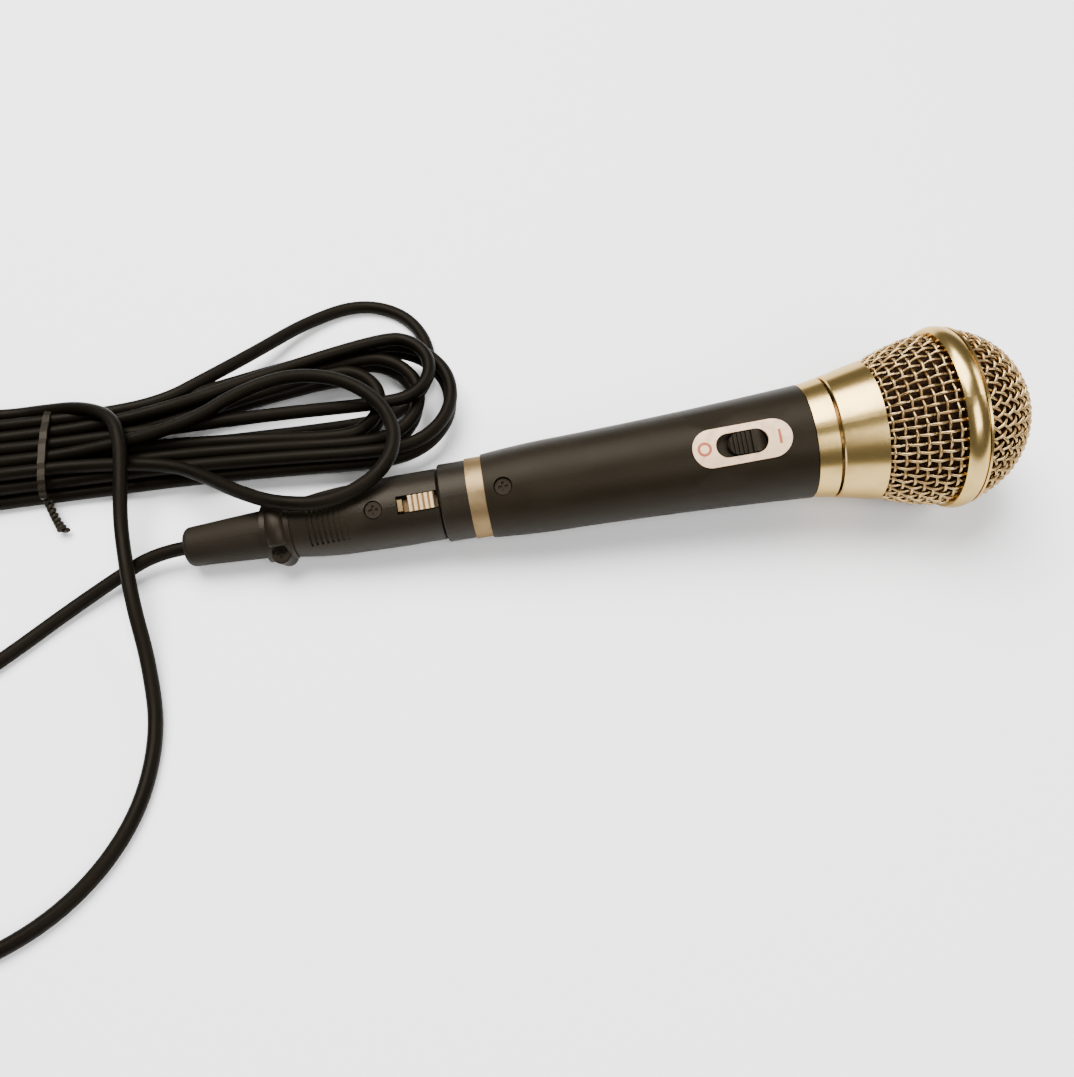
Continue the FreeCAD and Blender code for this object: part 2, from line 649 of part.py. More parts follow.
def make_switch_knob():
    """Five ribs on the tail half, then a hump and a slope down to the head end."""
    low = "knob_top - 1.0"
    points = [(KNOB_TAIL, "knob_foot"), (KNOB_TAIL, low)]
    for i in range(int(size("rib_count"))):
        start = f"{KNOB_TAIL} + 0.2 + rib_pitch * {i}"
        points.append((start, low))
        points.append((f"{start} + 0.15", "knob_top - 0.35"))
        points.append((f"{start} + rib_pitch * 0.5", "knob_top - 0.35"))
        points.append((f"{start} + rib_pitch * 0.5 + 0.15", low))
    hump = f"{KNOB_TAIL} + 0.4 + rib_pitch * rib_count"
    points += [(hump, low), (f"{hump} + 0.2", "knob_top"), (f"{hump} + 1.1", "knob_top"),
               (KNOB_HEAD, "knob_top - 1.9"), (KNOB_HEAD, "knob_foot")]
    width = "slot_wide - 2 * knob_side_gap"
    ribbed = extruded("knob_ribbed", points, width)
    plan = stadium("knob_plan", f"{KNOB_TAIL} + knob_len / 2", "knob_len", width, 5, 25)
    cap = common("knob_cap", ribbed, plan)
    middle = f"{KNOB_TAIL} + knob_len / 2"
    stem = block("knob_stem", (f"{middle} - stem_long / 2", f"{middle} + stem_long / 2"),
                 ("-stem_wide / 2", "stem_wide / 2"), ("can_top - can_wall - 1.2", "knob_foot + 0.5"))
    keep("switch_knob", fuse("switch_knob", cap, stem))
    shoe = block("slider_blank", (f"{middle} - stem_long", f"{middle} + stem_long"),
                 ("-can_wide / 2 + can_wall + play", "can_wide / 2 - can_wall - play"),
                 ("can_top - can_wall - play - 2.4", "can_top - can_wall - play"))
    socket = block("slider_socket", (f"{middle} - stem_long / 2 - seat", f"{middle} + stem_long / 2 + seat"),
                   ("-stem_wide / 2 - seat", "stem_wide / 2 + seat"),
                   ("can_top - can_wall - 1.2 - seat", "can_top + 1"))
    keep("switch_slider", cut("switch_slider", shoe, socket))


def make_switch_body():
    ends = ("switch_at - can_len / 2", "switch_at + can_len / 2")
    sides = ("-can_wide / 2", "can_wide / 2")
    can = block("can_blank", ends, sides, ("can_top - can_high", "can_top"))
    hollow = block("can_hollow", (f"{ends[0]} + can_wall", f"{ends[1]} - can_wall"),
                   ("-can_wide / 2 + can_wall", "can_wide / 2 - can_wall"),
                   ("can_top - can_high - 1", "can_top - can_wall"))
    opening = block("can_slot", (f"{KNOB_TAIL} + knob_len / 2 - stem_long / 2 - knob_travel - play",
                                 f"{KNOB_TAIL} + knob_len / 2 + stem_long / 2 + play"),
                    ("-stem_wide / 2 - play", "stem_wide / 2 + play"), ("can_top - 2", "can_top + 1"))
    keep("switch_can", cut("switch_can", can, hollow, opening))
    low, high = "can_top - can_high", "can_top - can_high + 1.0"
    tail, head = f"{ends[0]} + can_wall + seat", f"{ends[1]} - can_wall - seat"
    keep("switch_base", extruded("switch_base", [(tail, low), (tail, high), (head, high), (head, low)],
                                 "can_wide - 2 * can_wall - 2 * seat"))
    lugs = []
    for i in range(3):
        x = f"switch_at + lug_pitch * {i - 1}"
        lugs.append(block(f"lug{i}", (f"{x} - 0.7", f"{x} + 0.7"), ("-0.25", "0.25"),
                          ("can_top - can_high - lug_len", "can_top - can_high")))
    keep("switch_lugs", fuse("switch_lugs", *lugs))


# --- wires inside the handle and the connector ------------------------------------------------

def swept(points, radius):
    """A round bar along straight runs joined by tangent arcs. Each arc uses 0.45 of the shorter
    run beside it. Returns the solid, the arcs' radii and the path's length."""
    edges = []
    radii = []
    last = points[0]
    for before, corner, after in zip(points, points[1:], points[2:]):
        back = before - corner
        on = after - corner
        reach = 0.45 * min(back.Length, on.Length)
        back.normalize()
        on.normalize()
        half_turn = (math.pi - back.getAngle(on)) / 2
        bend = reach / math.tan(half_turn)
        towards = (back + on).normalize()
        middle = corner + towards * (bend / math.cos(half_turn) - bend)
        start, end = corner + back * reach, corner + on * reach
        edges.append(Part.LineSegment(last, start).toShape())
        edges.append(Part.Arc(start, middle, end).toShape())
        radii.append(bend)
        last = end
    edges.append(Part.LineSegment(last, points[-1]).toShape())
    path = Part.Wire(edges)
    ring = Part.Wire([Part.makeCircle(radius, points[0], points[1] - points[0])])
    solid = path.makePipeShell([ring], True, False)
    section = math.pi * radius ** 2
    if abs(solid.Volume - section * path.Length) > 0.01 * solid.Volume:
        raise RuntimeError("a swept bar's volume is not its section times its length")
    return solid, radii, path.Length


def wires(node, routes):
    """Thin insulated wires along routes of expressions, in the microphone's frame."""
    solids = []
    for route in routes:
        points = [Vector(size(x), size(y), size(z)) for x, y, z in route]
        solids.append(swept(points, size("wire_rad"))[0])
    bundle = fresh("Part::Feature", node)
    bundle.Shape = Part.makeCompound(solids)
    return keep(node, bundle)


def make_wires():
    lug_low = "can_top - can_high - lug_len"
    stem_back = f"({CASE_BACK} - stem_len)"
    wires("capsule_wires", [
        [(f"{stem_back} - seat", f"{side} * 3", "0"), (f"{stem_back} - 5", f"{side} * 3", "0.6"),
         (f"switch_at + lug_pitch + {1.6 - side}", f"{side} * 1.6", f"{lug_low} - 1.2")]
        for side in (-1, 1)
    ])
    pins_end = "(socket_depth + socket_disc + pin_back)"
    wires("socket_wires", [
        [(pins_end, y, z), (f"{pins_end} + 9", y, z), (f"{pins_end} + 22", f"{y} * 0.4", "-1"),
         ("switch_at - lug_pitch - 2", f"{y} * 0.4 + 0.1", f"{lug_low} - 1.2")]
        for y, z in pin_places()
    ])
    cups_end = "-(nose_back + contact_cup)"
    wires("plug_wires", [
        [(cups_end, y, z), (f"{cups_end} - 2.5", y, z),
         ("-plug_tail_at + boot_flange + 4", f"{y} * 0.3", f"{z} * 0.3"),
         ("-plug_tail_at + boot_flange + 1.2", f"{y} * 0.3", f"{z} * 0.3")]
        for y, z in pin_places()
    ])


# --- cable connector -------------------------------------------------------------------------

CLAMP_MIDDLE = "(-plug_len + clamp_len / 2)"


def make_plug_shell():
    bore = "nose_rad + seat"
    cavity = "(plug_tail_rad - plug_wall)"
    shell = turned("plug_turned", [
        ("-plug_joint", bore), ("-plug_joint", "plug_rad - chamfer"), ("-plug_joint - chamfer", "plug_rad"),
        ("-plug_straight", "plug_rad"), ("-plug_mid_at", "plug_mid_rad", ("plug_arc", 1)),
        ("-plug_tail_at", "plug_tail_rad"), ("-plug_tail_at", cavity), ("-nose_back", cavity),
        ("-nose_back", bore),
    ])
    saddle_tube = tube("saddle_tube", "-plug_len", "-plug_tail_at", "plug_tail_rad", "boot_neck_rad + seat")
    lower = block("saddle_space", ("-plug_len - 1", "-plug_tail_at + 1"), ("-tool_reach", "tool_reach"),
                  ("-tool_reach", "-clamp_gap / 2"))
    saddle = common("saddle", saddle_tube, lower)
    clear = rod("saddle_bore", "x", "boot_neck_rad + seat", "tool_reach", "-plug_len - 5")
    ears = []
    holes = []
    for side in (-1, 1):
        boss = rod(f"saddle_boss{side + 1}", "z", "ear_rad", "ear_drop - clamp_gap / 2", CLAMP_MIDDLE,
                   f"{side} * ear_at", "-ear_drop")
        ears.append(cut(f"saddle_ear{side + 1}", boss, clear))
        holes.append(rod(f"saddle_hole{side + 1}", "z", "screw_rad + seat", 10, CLAMP_MIDDLE,
                         f"{side} * ear_at", "-ear_drop + 0.8"))
    window = block("latch_window", ("-window_at - window_len / 2", "-window_at + window_len / 2"),
                   ("-window_wide / 2", "window_wide / 2"), (5, 15))
    well = rod("insert_well", "z", "screw_head_rad + play", 8, "-insert_screw_at", 0, 5)
    body = fuse("plug_body", shell, saddle, *ears)
    keep("plug_shell", cut("plug_shell", body, window, well, make_grip_grooves(), *holes))


def make_grip_grooves():
    """Shallow curved grooves across the front of the shell."""
    taper = "(plug_mid_rad - plug_tail_rad) / (plug_tail_at - plug_mid_at)"
    cuts = []
    for i in range(int(size("grip_count"))):
        back = f"(grip_at - grip_pitch * ({i} - grip_count / 2 + 0.5))"
        surface = f"(plug_mid_rad - {taper} * ({back} - plug_mid_at) + grip_swell)"
        cuts.append(tube(f"groove{i}", f"-{back} - grip_cut / 2", f"-{back} + grip_cut / 2",
                         "plug_rad + 3", f"{surface} - grip_deep"))
    rings = fuse("groove_rings", *cuts)
    front = block("groove_front", ("-plug_tail_at", "0"), ("-grip_wide / 2", "grip_wide / 2"),
                  ("0", "tool_reach"))
    return common("grip_grooves", rings, front)


LATCH_MIDDLE = "(-window_at + latch_shift)"
LEAF_LOW = "(latch_top - latch_high - latch_travel - leaf_thick - 0.2)"


def make_plug_insert():
    nose = rod("nose_blank", "x", "nose_rad", "nose_len + nose_back", "-nose_back")
    sockets = []
    contacts = []
    for i, (y, z) in enumerate(pin_places()):
        sockets.append(rod(f"contact_hole{i}", "x", "contact_rad + seat", 60, "-30", y, z))
        sleeve = rod(f"contact_sleeve{i}", "x", "contact_rad", "nose_len - 0.5 + nose_back + contact_cup",
                     "-nose_back - contact_cup", y, z)
        mouth_back = "(socket_depth - pin_reach - 1)"
        mouth = rod(f"contact_mouth{i}", "x", "pin_rad + run_fit", f"nose_len + 2 - {mouth_back}",
                    mouth_back, y, z)
        contacts.append(cut(f"contact{i}", sleeve, mouth))
    pocket = block("leaf_pocket", ("-window_at - window_len / 2", "-plug_joint"),
                   ("-window_wide / 2", "window_wide / 2"), (f"{LEAF_LOW} - seat", "12"))
    thread = rod("insert_thread", "z", "screw_rad + seat", 10, "-insert_screw_at", 0, "nose_rad - 2.2")
    keep("plug_insert", cut("plug_insert", nose, pocket, thread, *sockets))
    keep("plug_contacts", fuse("plug_contacts", *contacts))
    keep("insert_screw", screw("insert_screw", "-insert_screw_at", 0, "nose_rad + seat", "nose_rad - 1.7"))


def make_latch():
    """A ribbed button on a flat shoe that stays under the shell's edge."""
    left = f"{LATCH_MIDDLE} - latch_len / 2"
    points = [(left, "latch_top - latch_high"), (left, "latch_top - 0.5")]
    pitch = "(latch_len / latch_ribs)"
    for i in range(int(size("latch_ribs"))):
        start = f"{left} + {pitch} * {i}"
        points.append((f"{start} + 0.25", "latch_top"))
        points.append((f"{start} + {pitch} - 0.45", "latch_top"))
        points.append((f"{start} + {pitch}", "latch_top - 0.5"))
    points.append((f"{left} + latch_len", "latch_top - latch_high"))
    keep("latch_button", extruded("latch_ribbed", points, "latch_wide"))
    leaf = block("leaf_strip", ("-window_at - window_len / 2 + 0.2", "-plug_joint - 0.5"), ("-1.6", "1.6"),
                 (LEAF_LOW, f"{LEAF_LOW} + leaf_thick"))
    tab = block("leaf_tab", ("-window_at - window_len / 2 + 0.2", "-window_at - window_len / 2 + 1.5"),
                ("-1.6", "1.6"), (LEAF_LOW, "plug_rad - 0.9"))
    keep("latch_leaf", fuse("latch_leaf", leaf, tab))


# --- clamp and boot --------------------------------------------------------------------------

def make_clamp():
    arch = tube("clamp_tube", "-plug_len", "-plug_tail_at - seat", "plug_tail_rad + 0.3",
                "boot_neck_rad + seat")
    bosses = []
    holes = []
    screws = []
    for side in (-1, 1):
        y = f"{side} * ear_at"
        bosses.append(rod(f"clamp_ear{side + 1}", "z", "ear_rad", "ear_rise", CLAMP_MIDDLE, y, "0"))
        holes.append(rod(f"clamp_well{side + 1}", "z", "screw_head_rad + seat", 8, CLAMP_MIDDLE, y,
                         "ear_rise - screw_head + 0.2"))
        holes.append(rod(f"clamp_hole{side + 1}", "z", "screw_rad + seat", 12, CLAMP_MIDDLE, y, "-1"))
        screws.append(screw(f"clamp_screw{side + 1}", CLAMP_MIDDLE, y, "ear_rise - screw_head + 0.25",
                            "-ear_drop + 0.9"))
    bore = rod("clamp_bore", "x", "boot_neck_rad + seat", "tool_reach", "-plug_len - 5")
    upper = block("clamp_space", ("-plug_len - 1", "0"), ("-tool_reach", "tool_reach"),
                  ("clamp_gap / 2", "tool_reach"))
    whole = cut("clamp_whole", fuse("clamp_solid", arch, *bosses), bore, *holes)
    keep("cable_clamp", common("cable_clamp", whole, upper))
    keep("clamp_screws", fuse("clamp_screws", *screws))


def make_boot():
    outer_end = "(-plug_len - seat - boot_len)"
    flange_tail = "(-plug_tail_at + 0.1)"
    bore = "cord_rad + seat"
    keep("cord_boot", turned("cord_boot", [
        (outer_end, bore), (outer_end, "boot_end_rad - boot_round", ("boot_round", -1)),
        (f"{outer_end} + boot_round", "boot_end_rad"),
        ("-plug_len - seat", "boot_rad"), ("-plug_len - seat", "boot_neck_rad"),
        (flange_tail, "boot_neck_rad"), (flange_tail, "boot_flange_rad"),
        (f"{flange_tail} + boot_flange", "boot_flange_rad"), (f"{flange_tail} + boot_flange", bore),
    ]))
    keep("cord_core", solid_bar("cord_core", outer_end, "-plug_tail_at + boot_flange + 1.2", "cord_rad"))


# --- cord, hank and jack plug ----------------------------------------------------------------

def cord_tube(node, points):
    solid, radii, length = swept(points, size("cord_rad"))
    cord = fresh("Part::Feature", node)
    cord.Shape = solid
    keep(node, cord)
    print(f"{node}: length {length:.0f} mm, arc radii " + ", ".join(f"{r:.1f}" for r in radii))


def make_cord(resting):
    outer_end = "(-plug_len - seat - boot_len)"
    straight_out = [resting.multVec(Vector(size(x), 0, 0)) for x in (outer_end, f"{outer_end} - exit_run")]
    cord_tube("cord_lead", straight_out + [Vector(*p) for p in LEAD_ROUTE])
    cord_tube("cord_front_loop", [Vector(*p) for p in FRONT_LOOP_ROUTE])
    cord_tube("cord_back_loop", [Vector(*p) for p in BACK_LOOP_ROUTE])
    jack = Vector(*JACK_PLACE) + Vector(size("jack_boot_len"), 0, 0)
    cord_tube("cord_tail", [Vector(*p) for p in JACK_ROUTE] + [jack])


CROSSWISE = Rotation(Vector(0, 1, 0), Vector(0, 0, 1), Vector(1, 0, 0), "XYZ")


def make_hank():
    """The tied bundle's outer form, narrow at the tie and fanned out at both ends."""
    sections = []
    for i, (x, y, z, half_wide, half_high) in enumerate(HANK_SECTIONS):
        ring = fresh("Part::Ellipse", f"hank_section{i}")
        ring.MajorRadius = half_wide
        ring.MinorRadius = half_high
        ring.Placement = Placement(Vector(x, y, z), CROSSWISE)
        sections.append(ring)
    loft = fresh("Part::Loft", "cord_hank")
    loft.Sections = sections
    loft.Solid = True
    keep("cord_hank", loft)


def make_tie():
    """A flat wire tie round the hank's waist."""
    x, y, z, half_wide, half_high = next(s for s in HANK_SECTIONS if s[0] == TIE_AT)
    hoops = []
    for i, grow in enumerate(("0.4", "0.4 + tie_thick")):
        hoop = fresh("Part::Ellipse", f"tie_hoop{i}")
        bind(hoop, MajorRadius=f"{half_wide} + {grow}", MinorRadius=f"{half_high} + ({grow}) * 0.45")
        hoop.Placement = Placement(Vector(x, y, z), CROSSWISE)
        bar = fresh("Part::Extrusion", f"tie_bar{i}")
        bar.Base = hoop
        bar.DirMode = "Custom"
        bar.Dir = Vector(1, 0, 0)
        bar.Solid = True
        bind(bar, LengthFwd="tie_wide")
        hoops.append(bar)
    keep("hank_tie", cut("hank_tie", hoops[1], hoops[0]))


def make_jack():
    """The plug points along -X from its own zero, the barrel's cord end."""
    barrel_tip = "(-barrel_len)"
    sleeve_tip = f"({barrel_tip} - jack_sleeve_len)"
    gap_tip = f"({sleeve_tip} - jack_gap_len)"
    tip_end = f"({gap_tip} - jack_tip_len)"
    nodes = {
        "jack_sleeve": turned("jack_sleeve", [
            (sleeve_tip, "jack_core_rad + seat"), (sleeve_tip, "jack_rad"), (barrel_tip, "jack_rad"),
            (barrel_tip, "barrel_rad - barrel_wall - seat"),
            (f"{barrel_tip} + jack_flange_len * 3", "barrel_rad - barrel_wall - seat"),
            (f"{barrel_tip} + jack_flange_len * 3", "jack_core_rad + seat"),
        ]),
        "jack_insulator": tube("jack_insulator", gap_tip, sleeve_tip, "jack_rad - jack_relief - 0.1",
                               "jack_core_rad + seat"),
        "jack_tip": turned("jack_tip", [
            (tip_end, "0"), (f"{tip_end} + 0.4", "1.1"),
            (f"{gap_tip} - jack_tip_len * 0.62", "jack_rad - jack_relief"),
            (f"{gap_tip} - jack_tip_len * 0.35", "jack_waist_rad"),
            (f"{gap_tip} - 0.9", "jack_rad - jack_relief"), (gap_tip, "jack_rad - jack_relief"),
            (gap_tip, "jack_core_rad"),
            (f"{barrel_tip} + jack_flange_len * 3 + 2", "jack_core_rad"),
            (f"{barrel_tip} + jack_flange_len * 3 + 2", "0"),
        ]),
        "jack_barrel": turned("jack_barrel", [
            (barrel_tip, "barrel_rad - barrel_wall"), (barrel_tip, "barrel_rad - 0.6"),
            (f"{barrel_tip} + 0.6", "barrel_rad"), ("-4", "barrel_rad"), ("0", "barrel_rad - 1.6"),
            ("0", "jack_boot_rad + seat"), ("-2", "jack_boot_rad + seat"), ("-3", "barrel_rad - barrel_wall"),
        ]),
        "jack_boot": turned("jack_boot", [
            ("-2", "cord_rad + seat"), ("-2", "jack_boot_rad"), ("0", "jack_boot_rad"),
            ("jack_boot_len", "cord_rad + 0.7"), ("jack_boot_len", "cord_rad + seat"),
        ]),
        "jack_core": solid_bar("jack_core", "-8", "jack_boot_len", "cord_rad"),
    }
    for node, thing in nodes.items():
        keep(node, thing).Placement.Base = Vector(*JACK_PLACE) + thing.Placement.Base


# --- assembly --------------------------------------------------------------------------------

def resting_place():
    """Tip the microphone onto its head, turn the switch to the front, and centre it on X."""
    turn = Rotation(Vector(0, 1, 0), -size("tilt_deg")) * Rotation(Vector(1, 0, 0), size("front_deg"))
    low = [pieces[n].Shape.copy() for n in ("grille_band", "cord_boot", "grille_dome")]
    for shape in low:
        shape.Placement = Placement(Vector(), turn)
    boxes = [shape.optimalBoundingBox(True, False) for shape in low]
    middle = (min(b.XMin for b in boxes) + max(b.XMax for b in boxes)) / 2
    lowest = min(b.ZMin for b in boxes)
    return Placement(Vector(-middle, 0, -lowest), turn)


def check_and_write():
    doc.recompute()
    for thing in doc.Objects:
        if {"Invalid", "Error"} & set(thing.State):
            raise RuntimeError(f"{thing.Name} did not build: {thing.State}")
    for node, thing in pieces.items():
        if thing.Shape.isNull() or not thing.Shape.isValid() or not thing.Shape.Solids:
            raise RuntimeError(f"{node} has no valid solid")
    os.makedirs("parts", exist_ok=True)
    for node, thing in pieces.items():
        thing.Shape.exportStep(f"parts/{node}.step")
    print(f"{len(pieces)} nodes written")


def main():
    fill_sheet()
    for make in (make_handle_shell, make_tail, make_socket, make_neck, make_head, make_foam,
                 make_shock_mount, make_capsule_case, make_motor, make_switch_plate,
                 make_switch_knob, make_switch_body, make_wires, make_plug_shell,
                 make_plug_insert, make_latch, make_clamp, make_boot):
        make()
    doc.recompute()
    resting = resting_place()
    for thing in pieces.values():
        thing.Placement = resting * thing.Placement
    print("microphone placed at", resting.Base)
    make_cord(resting)
    make_hank()
    make_tie()
    make_jack()
    check_and_write()


main()
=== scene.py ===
import json
import math

import bmesh
import bpy
from mathutils import Matrix, Vector, noise


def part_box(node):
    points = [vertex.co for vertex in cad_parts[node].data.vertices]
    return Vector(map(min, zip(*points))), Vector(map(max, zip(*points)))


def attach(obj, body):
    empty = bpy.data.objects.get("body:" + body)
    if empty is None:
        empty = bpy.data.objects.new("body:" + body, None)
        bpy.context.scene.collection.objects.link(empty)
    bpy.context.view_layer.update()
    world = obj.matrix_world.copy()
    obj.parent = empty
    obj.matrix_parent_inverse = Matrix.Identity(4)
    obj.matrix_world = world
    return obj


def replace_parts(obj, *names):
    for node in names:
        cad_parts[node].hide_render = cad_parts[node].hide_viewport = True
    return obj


bl_info = {
    "name": "Karaoke microphone",
    "version": (1, 0, 0),
    "blender": (4, 5, 0),
    "location": "3D View > Sidebar > Microphone",
    "description": "Wire grilles, finishes, cord and stage for a handheld karaoke microphone",
    "category": "Object",
}

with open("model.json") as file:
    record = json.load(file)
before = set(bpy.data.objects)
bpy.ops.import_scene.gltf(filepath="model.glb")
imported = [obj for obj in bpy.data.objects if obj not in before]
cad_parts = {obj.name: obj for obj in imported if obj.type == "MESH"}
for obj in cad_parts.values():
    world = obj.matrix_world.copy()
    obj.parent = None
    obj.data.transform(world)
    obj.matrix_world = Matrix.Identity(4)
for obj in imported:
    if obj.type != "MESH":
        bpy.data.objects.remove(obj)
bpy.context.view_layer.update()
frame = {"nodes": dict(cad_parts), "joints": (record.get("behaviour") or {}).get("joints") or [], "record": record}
NODES = frame["nodes"]
JOINTS = {joint["name"]: joint for joint in frame["joints"]}
MOUNTS = {mount["name"]: mount for mount in frame["record"]["mounts"]}
MM = 0.001

# The microphone's own frame: X along its axis to the head, Z to the side with the switch, and
# zero where the cable connector meets the tail.
AXIS = Vector(JOINTS["mic_unplug"]["axis"]).normalized()
FRONT = -Vector(JOINTS["latch_press"]["axis"]).normalized()
ACROSS = FRONT.cross(AXIS)
CLIP_STATION = 45.0
ORIGIN = Vector(MOUNTS["clip_seat"]["pos_m"]) - AXIS * CLIP_STATION * MM
TO_WORLD = Matrix((AXIS, ACROSS, FRONT)).transposed().to_4x4()
TO_WORLD.translation = ORIGIN
TO_LOCAL = TO_WORLD.inverted()


def local_box(node):
    """Lowest and highest corner of a CAD node in the microphone's own frame, in mm."""
    points = [TO_LOCAL @ v.co / MM for v in NODES[node].data.vertices]
    low = Vector(min(p[i] for p in points) for i in range(3))
    high = Vector(max(p[i] for p in points) for i in range(3))
    return low, high


def mic(x, y, z):
    """A point of the microphone's own frame, in mm, as a place in the scene."""
    return TO_WORLD @ (Vector((x, y, z)) * MM)


# --- the cord's route ------------------------------------------------------------------------

CORD_LEAD = [
    (-138.0, -5.6, 4.0), (-151.0, -12.8, 2.05), (-168.0, -25.4, 2.05),
    (-191.0, -40.0, 2.05), (-213.0, -57.0, 2.05), (-222.0, -76.0, 2.05), (-213.0, -94.0, 2.05),
    (-192.0, -104.0, 2.05), (-167.0, -103.0, 2.05), (-145.0, -93.0, 2.05), (-130.0, -75.0, 2.05),
    (-125.0, -53.0, 2.05), (-127.5, -33.0, 4.4), (-131.0, -17.0, 9.2), (-133.5, -3.0, 10.2),
    (-135.0, 9.5, 11.6), (-134.5, 21.5, 14.6), (-134.5, 32.0, 16.6), (-137.5, 42.0, 16.4),
    (-148.0, 49.3, 13.0), (-161.0, 52.2, 9.6),
]
FRONT_LOOP = [
    (-116.0, 37.0, 14.8), (-101.0, 43.5, 18.4), (-84.5, 46.0, 21.0), (-69.0, 40.5, 22.5),
    (-58.5, 29.0, 23.6), (-55.5, 15.0, 24.6), (-62.0, 3.8, 24.2), (-75.5, -1.6, 22.8),
    (-89.5, 1.0, 21.8), (-101.0, 9.0, 18.0), (-111.0, 18.5, 13.6), (-122.5, 26.5, 11.0),
]
BACK_LOOP = [
    (-126.0, 49.5, 10.4), (-112.0, 57.5, 10.0), (-98.0, 69.0, 6.4), (-82.5, 82.0, 3.0),
    (-65.0, 88.5, 2.05), (-50.0, 81.5, 2.05), (-43.5, 66.5, 2.05), (-46.0, 51.0, 2.05),
    (-56.5, 41.0, 2.05), (-71.0, 38.5, 2.1),
]
JACK_LEAD = [
    (-173.5, 49.9, 6.2), (-181.5, 51.5, 6.9), (-191.0, 56.5, 7.0), (-197.2, 65.0, 5.0),
    (-204.5, 72.3, 4.6), (-212.8, 77.0, 6.45),
]
CORD_EXIT_RUN = 9.0
TIE_X = -160.0
WAIST_Y = 39.0
# Where each strand passes the tie: across from the waist's middle, and height.
SLOTS = {
    "s0": (13.4, 8.9),
    "a0": (-8.7, 10.1), "a1": (-4.4, 10.1), "a2": (0.0, 10.1), "a3": (4.4, 10.1), "a4": (8.8, 10.1),
    "b0": (-10.9, 6.2), "b1": (-6.5, 6.2), "b2": (-2.2, 6.2), "b3": (2.2, 6.2), "b4": (6.5, 6.2),
    "b5": (10.9, 6.2),
    "c0": (-13.0, 2.3), "c1": (-8.7, 2.3), "c2": (-4.4, 2.3), "c3": (0.0, 2.3), "c4": (4.4, 2.3),
    "c5": (8.7, 2.3), "c6": (13.0, 2.3),
}
# The turns at the hank's two ends, in the order that the cord runs: the end, the strands that
# it joins, its furthest X, its middle Y, half its width and its height.
TURNS = [
    (-1, "s0", "a1", -281.0, 42.5, 17.4, 14.2),
    ("front", "a1", "a0"),
    (-1, "a0", "a2", -262.0, 36.5, 12.6, 10.3),
    (1, "a2", "a3", -44.0, 49.0, 12.6, 14.4),
    (-1, "a3", "a4", -259.0, 41.5, 12.6, 14.4),
    ("back", "a4", "c3"),
    (-1, "c3", "c2", -255.0, 38.0, 12.6, 2.3),
    (1, "c2", "c4", -60.0, 41.5, 12.6, 6.4),
    (-1, "c4", "c1", -268.0, 38.0, 17.0, 2.3),
    (1, "c1", "c5", -49.0, 42.0, 17.2, 6.4),
    (-1, "c5", "c0", -280.0, 38.5, 21.4, 2.3),
    (1, "c0", "c6", -38.5, 42.5, 21.6, 6.4),
    (-1, "c6", "b1", -281.0, 41.0, 20.6, 6.3),
    (1, "b1", "b4", -48.0, 42.0, 16.2, 10.4),
    (-1, "b4", "b2", -262.0, 41.5, 13.6, 6.3),
    (1, "b2", "b3", -60.0, 41.5, 12.6, 10.4),
    (-1, "b3", "b0", -280.0, 37.0, 18.0, 10.3),
    (1, "b0", "b5", -38.0, 42.5, 20.6, 10.4),
]
# A turn is half a round polygon, one control point every 36 degrees.
TURN_STEPS = (-90, -54, -18, 18, 54, 90)
# How a strand fans out from the tie to its turn: shares of the way along, across and up.
FAN = ((0.3, 0.16, 0.45), (0.66, 0.6, 0.92))


# How far each side of the tie the strands run straight.
STRAIGHT_RUN = 12.0


def slot_point(slot, side):
    """A strand beside the tie, where it runs straight."""
    across, height = SLOTS[slot]
    return (TIE_X + side * STRAIGHT_RUN, WAIST_Y + across, height)


def fanned(slot, side, leg):
    """The points from the tie out to a turn's first point, which isn't among them."""
    near = slot_point(slot, side)
    points = [near]
    for shares in FAN:
        points.append(tuple(a + (b - a) * share for a, b, share in zip(near, leg, shares)))
    return points


def turn_points(side, tip, middle, reach, height, from_far):
    """The round end of a turn at the hank's head (side 1) or tail (side -1)."""
    sign = -1 if from_far else 1
    centre = tip - side * reach
    points = []
    for step in TURN_STEPS:
        angle = math.radians(step)
        place = (centre + side * reach * math.cos(angle), middle + sign * reach * math.sin(angle))
        points.append((*place, height))
    return points


def hank_route():
    """Every strand and turn of the hank, from the lead's last point to the jack's lead."""
    route = []
    for turn in TURNS:
        side, first, second = turn[:3]
        if side in ("front", "back"):
            loop = FRONT_LOOP if side == "front" else BACK_LOOP
            route += [slot_point(first, -1), slot_point(first, 1)] + loop
            route += [slot_point(second, 1), slot_point(second, -1)]
            continue
        from_far = SLOTS[first][0] > SLOTS[second][0]
        ends = turn_points(side, *turn[3:], from_far)
        route += fanned(first, side, ends[0]) + ends
        route += reversed(fanned(second, side, ends[-1]))
    return route


def cord_points():
    """The cord's control points in metres, from the boot's end to the jack plug's boot."""
    boot_low, boot_high = local_box("cord_boot")
    jack_low, jack_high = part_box("jack_boot")
    leave = mic(boot_low.x, 0, 0)
    straight_out = leave - AXIS * CORD_EXIT_RUN * MM
    jack_end = Vector((jack_high.x, (jack_low.y + jack_high.y) / 2, (jack_low.z + jack_high.z) / 2))
    middle = [Vector(point) * MM for point in CORD_LEAD + hank_route() + JACK_LEAD]
    return [leave, straight_out] + middle + [jack_end]


# --- shader maths ----------------------------------------------------------------------------

WARM_SHINE = (1.0, 0.86, 0.68)


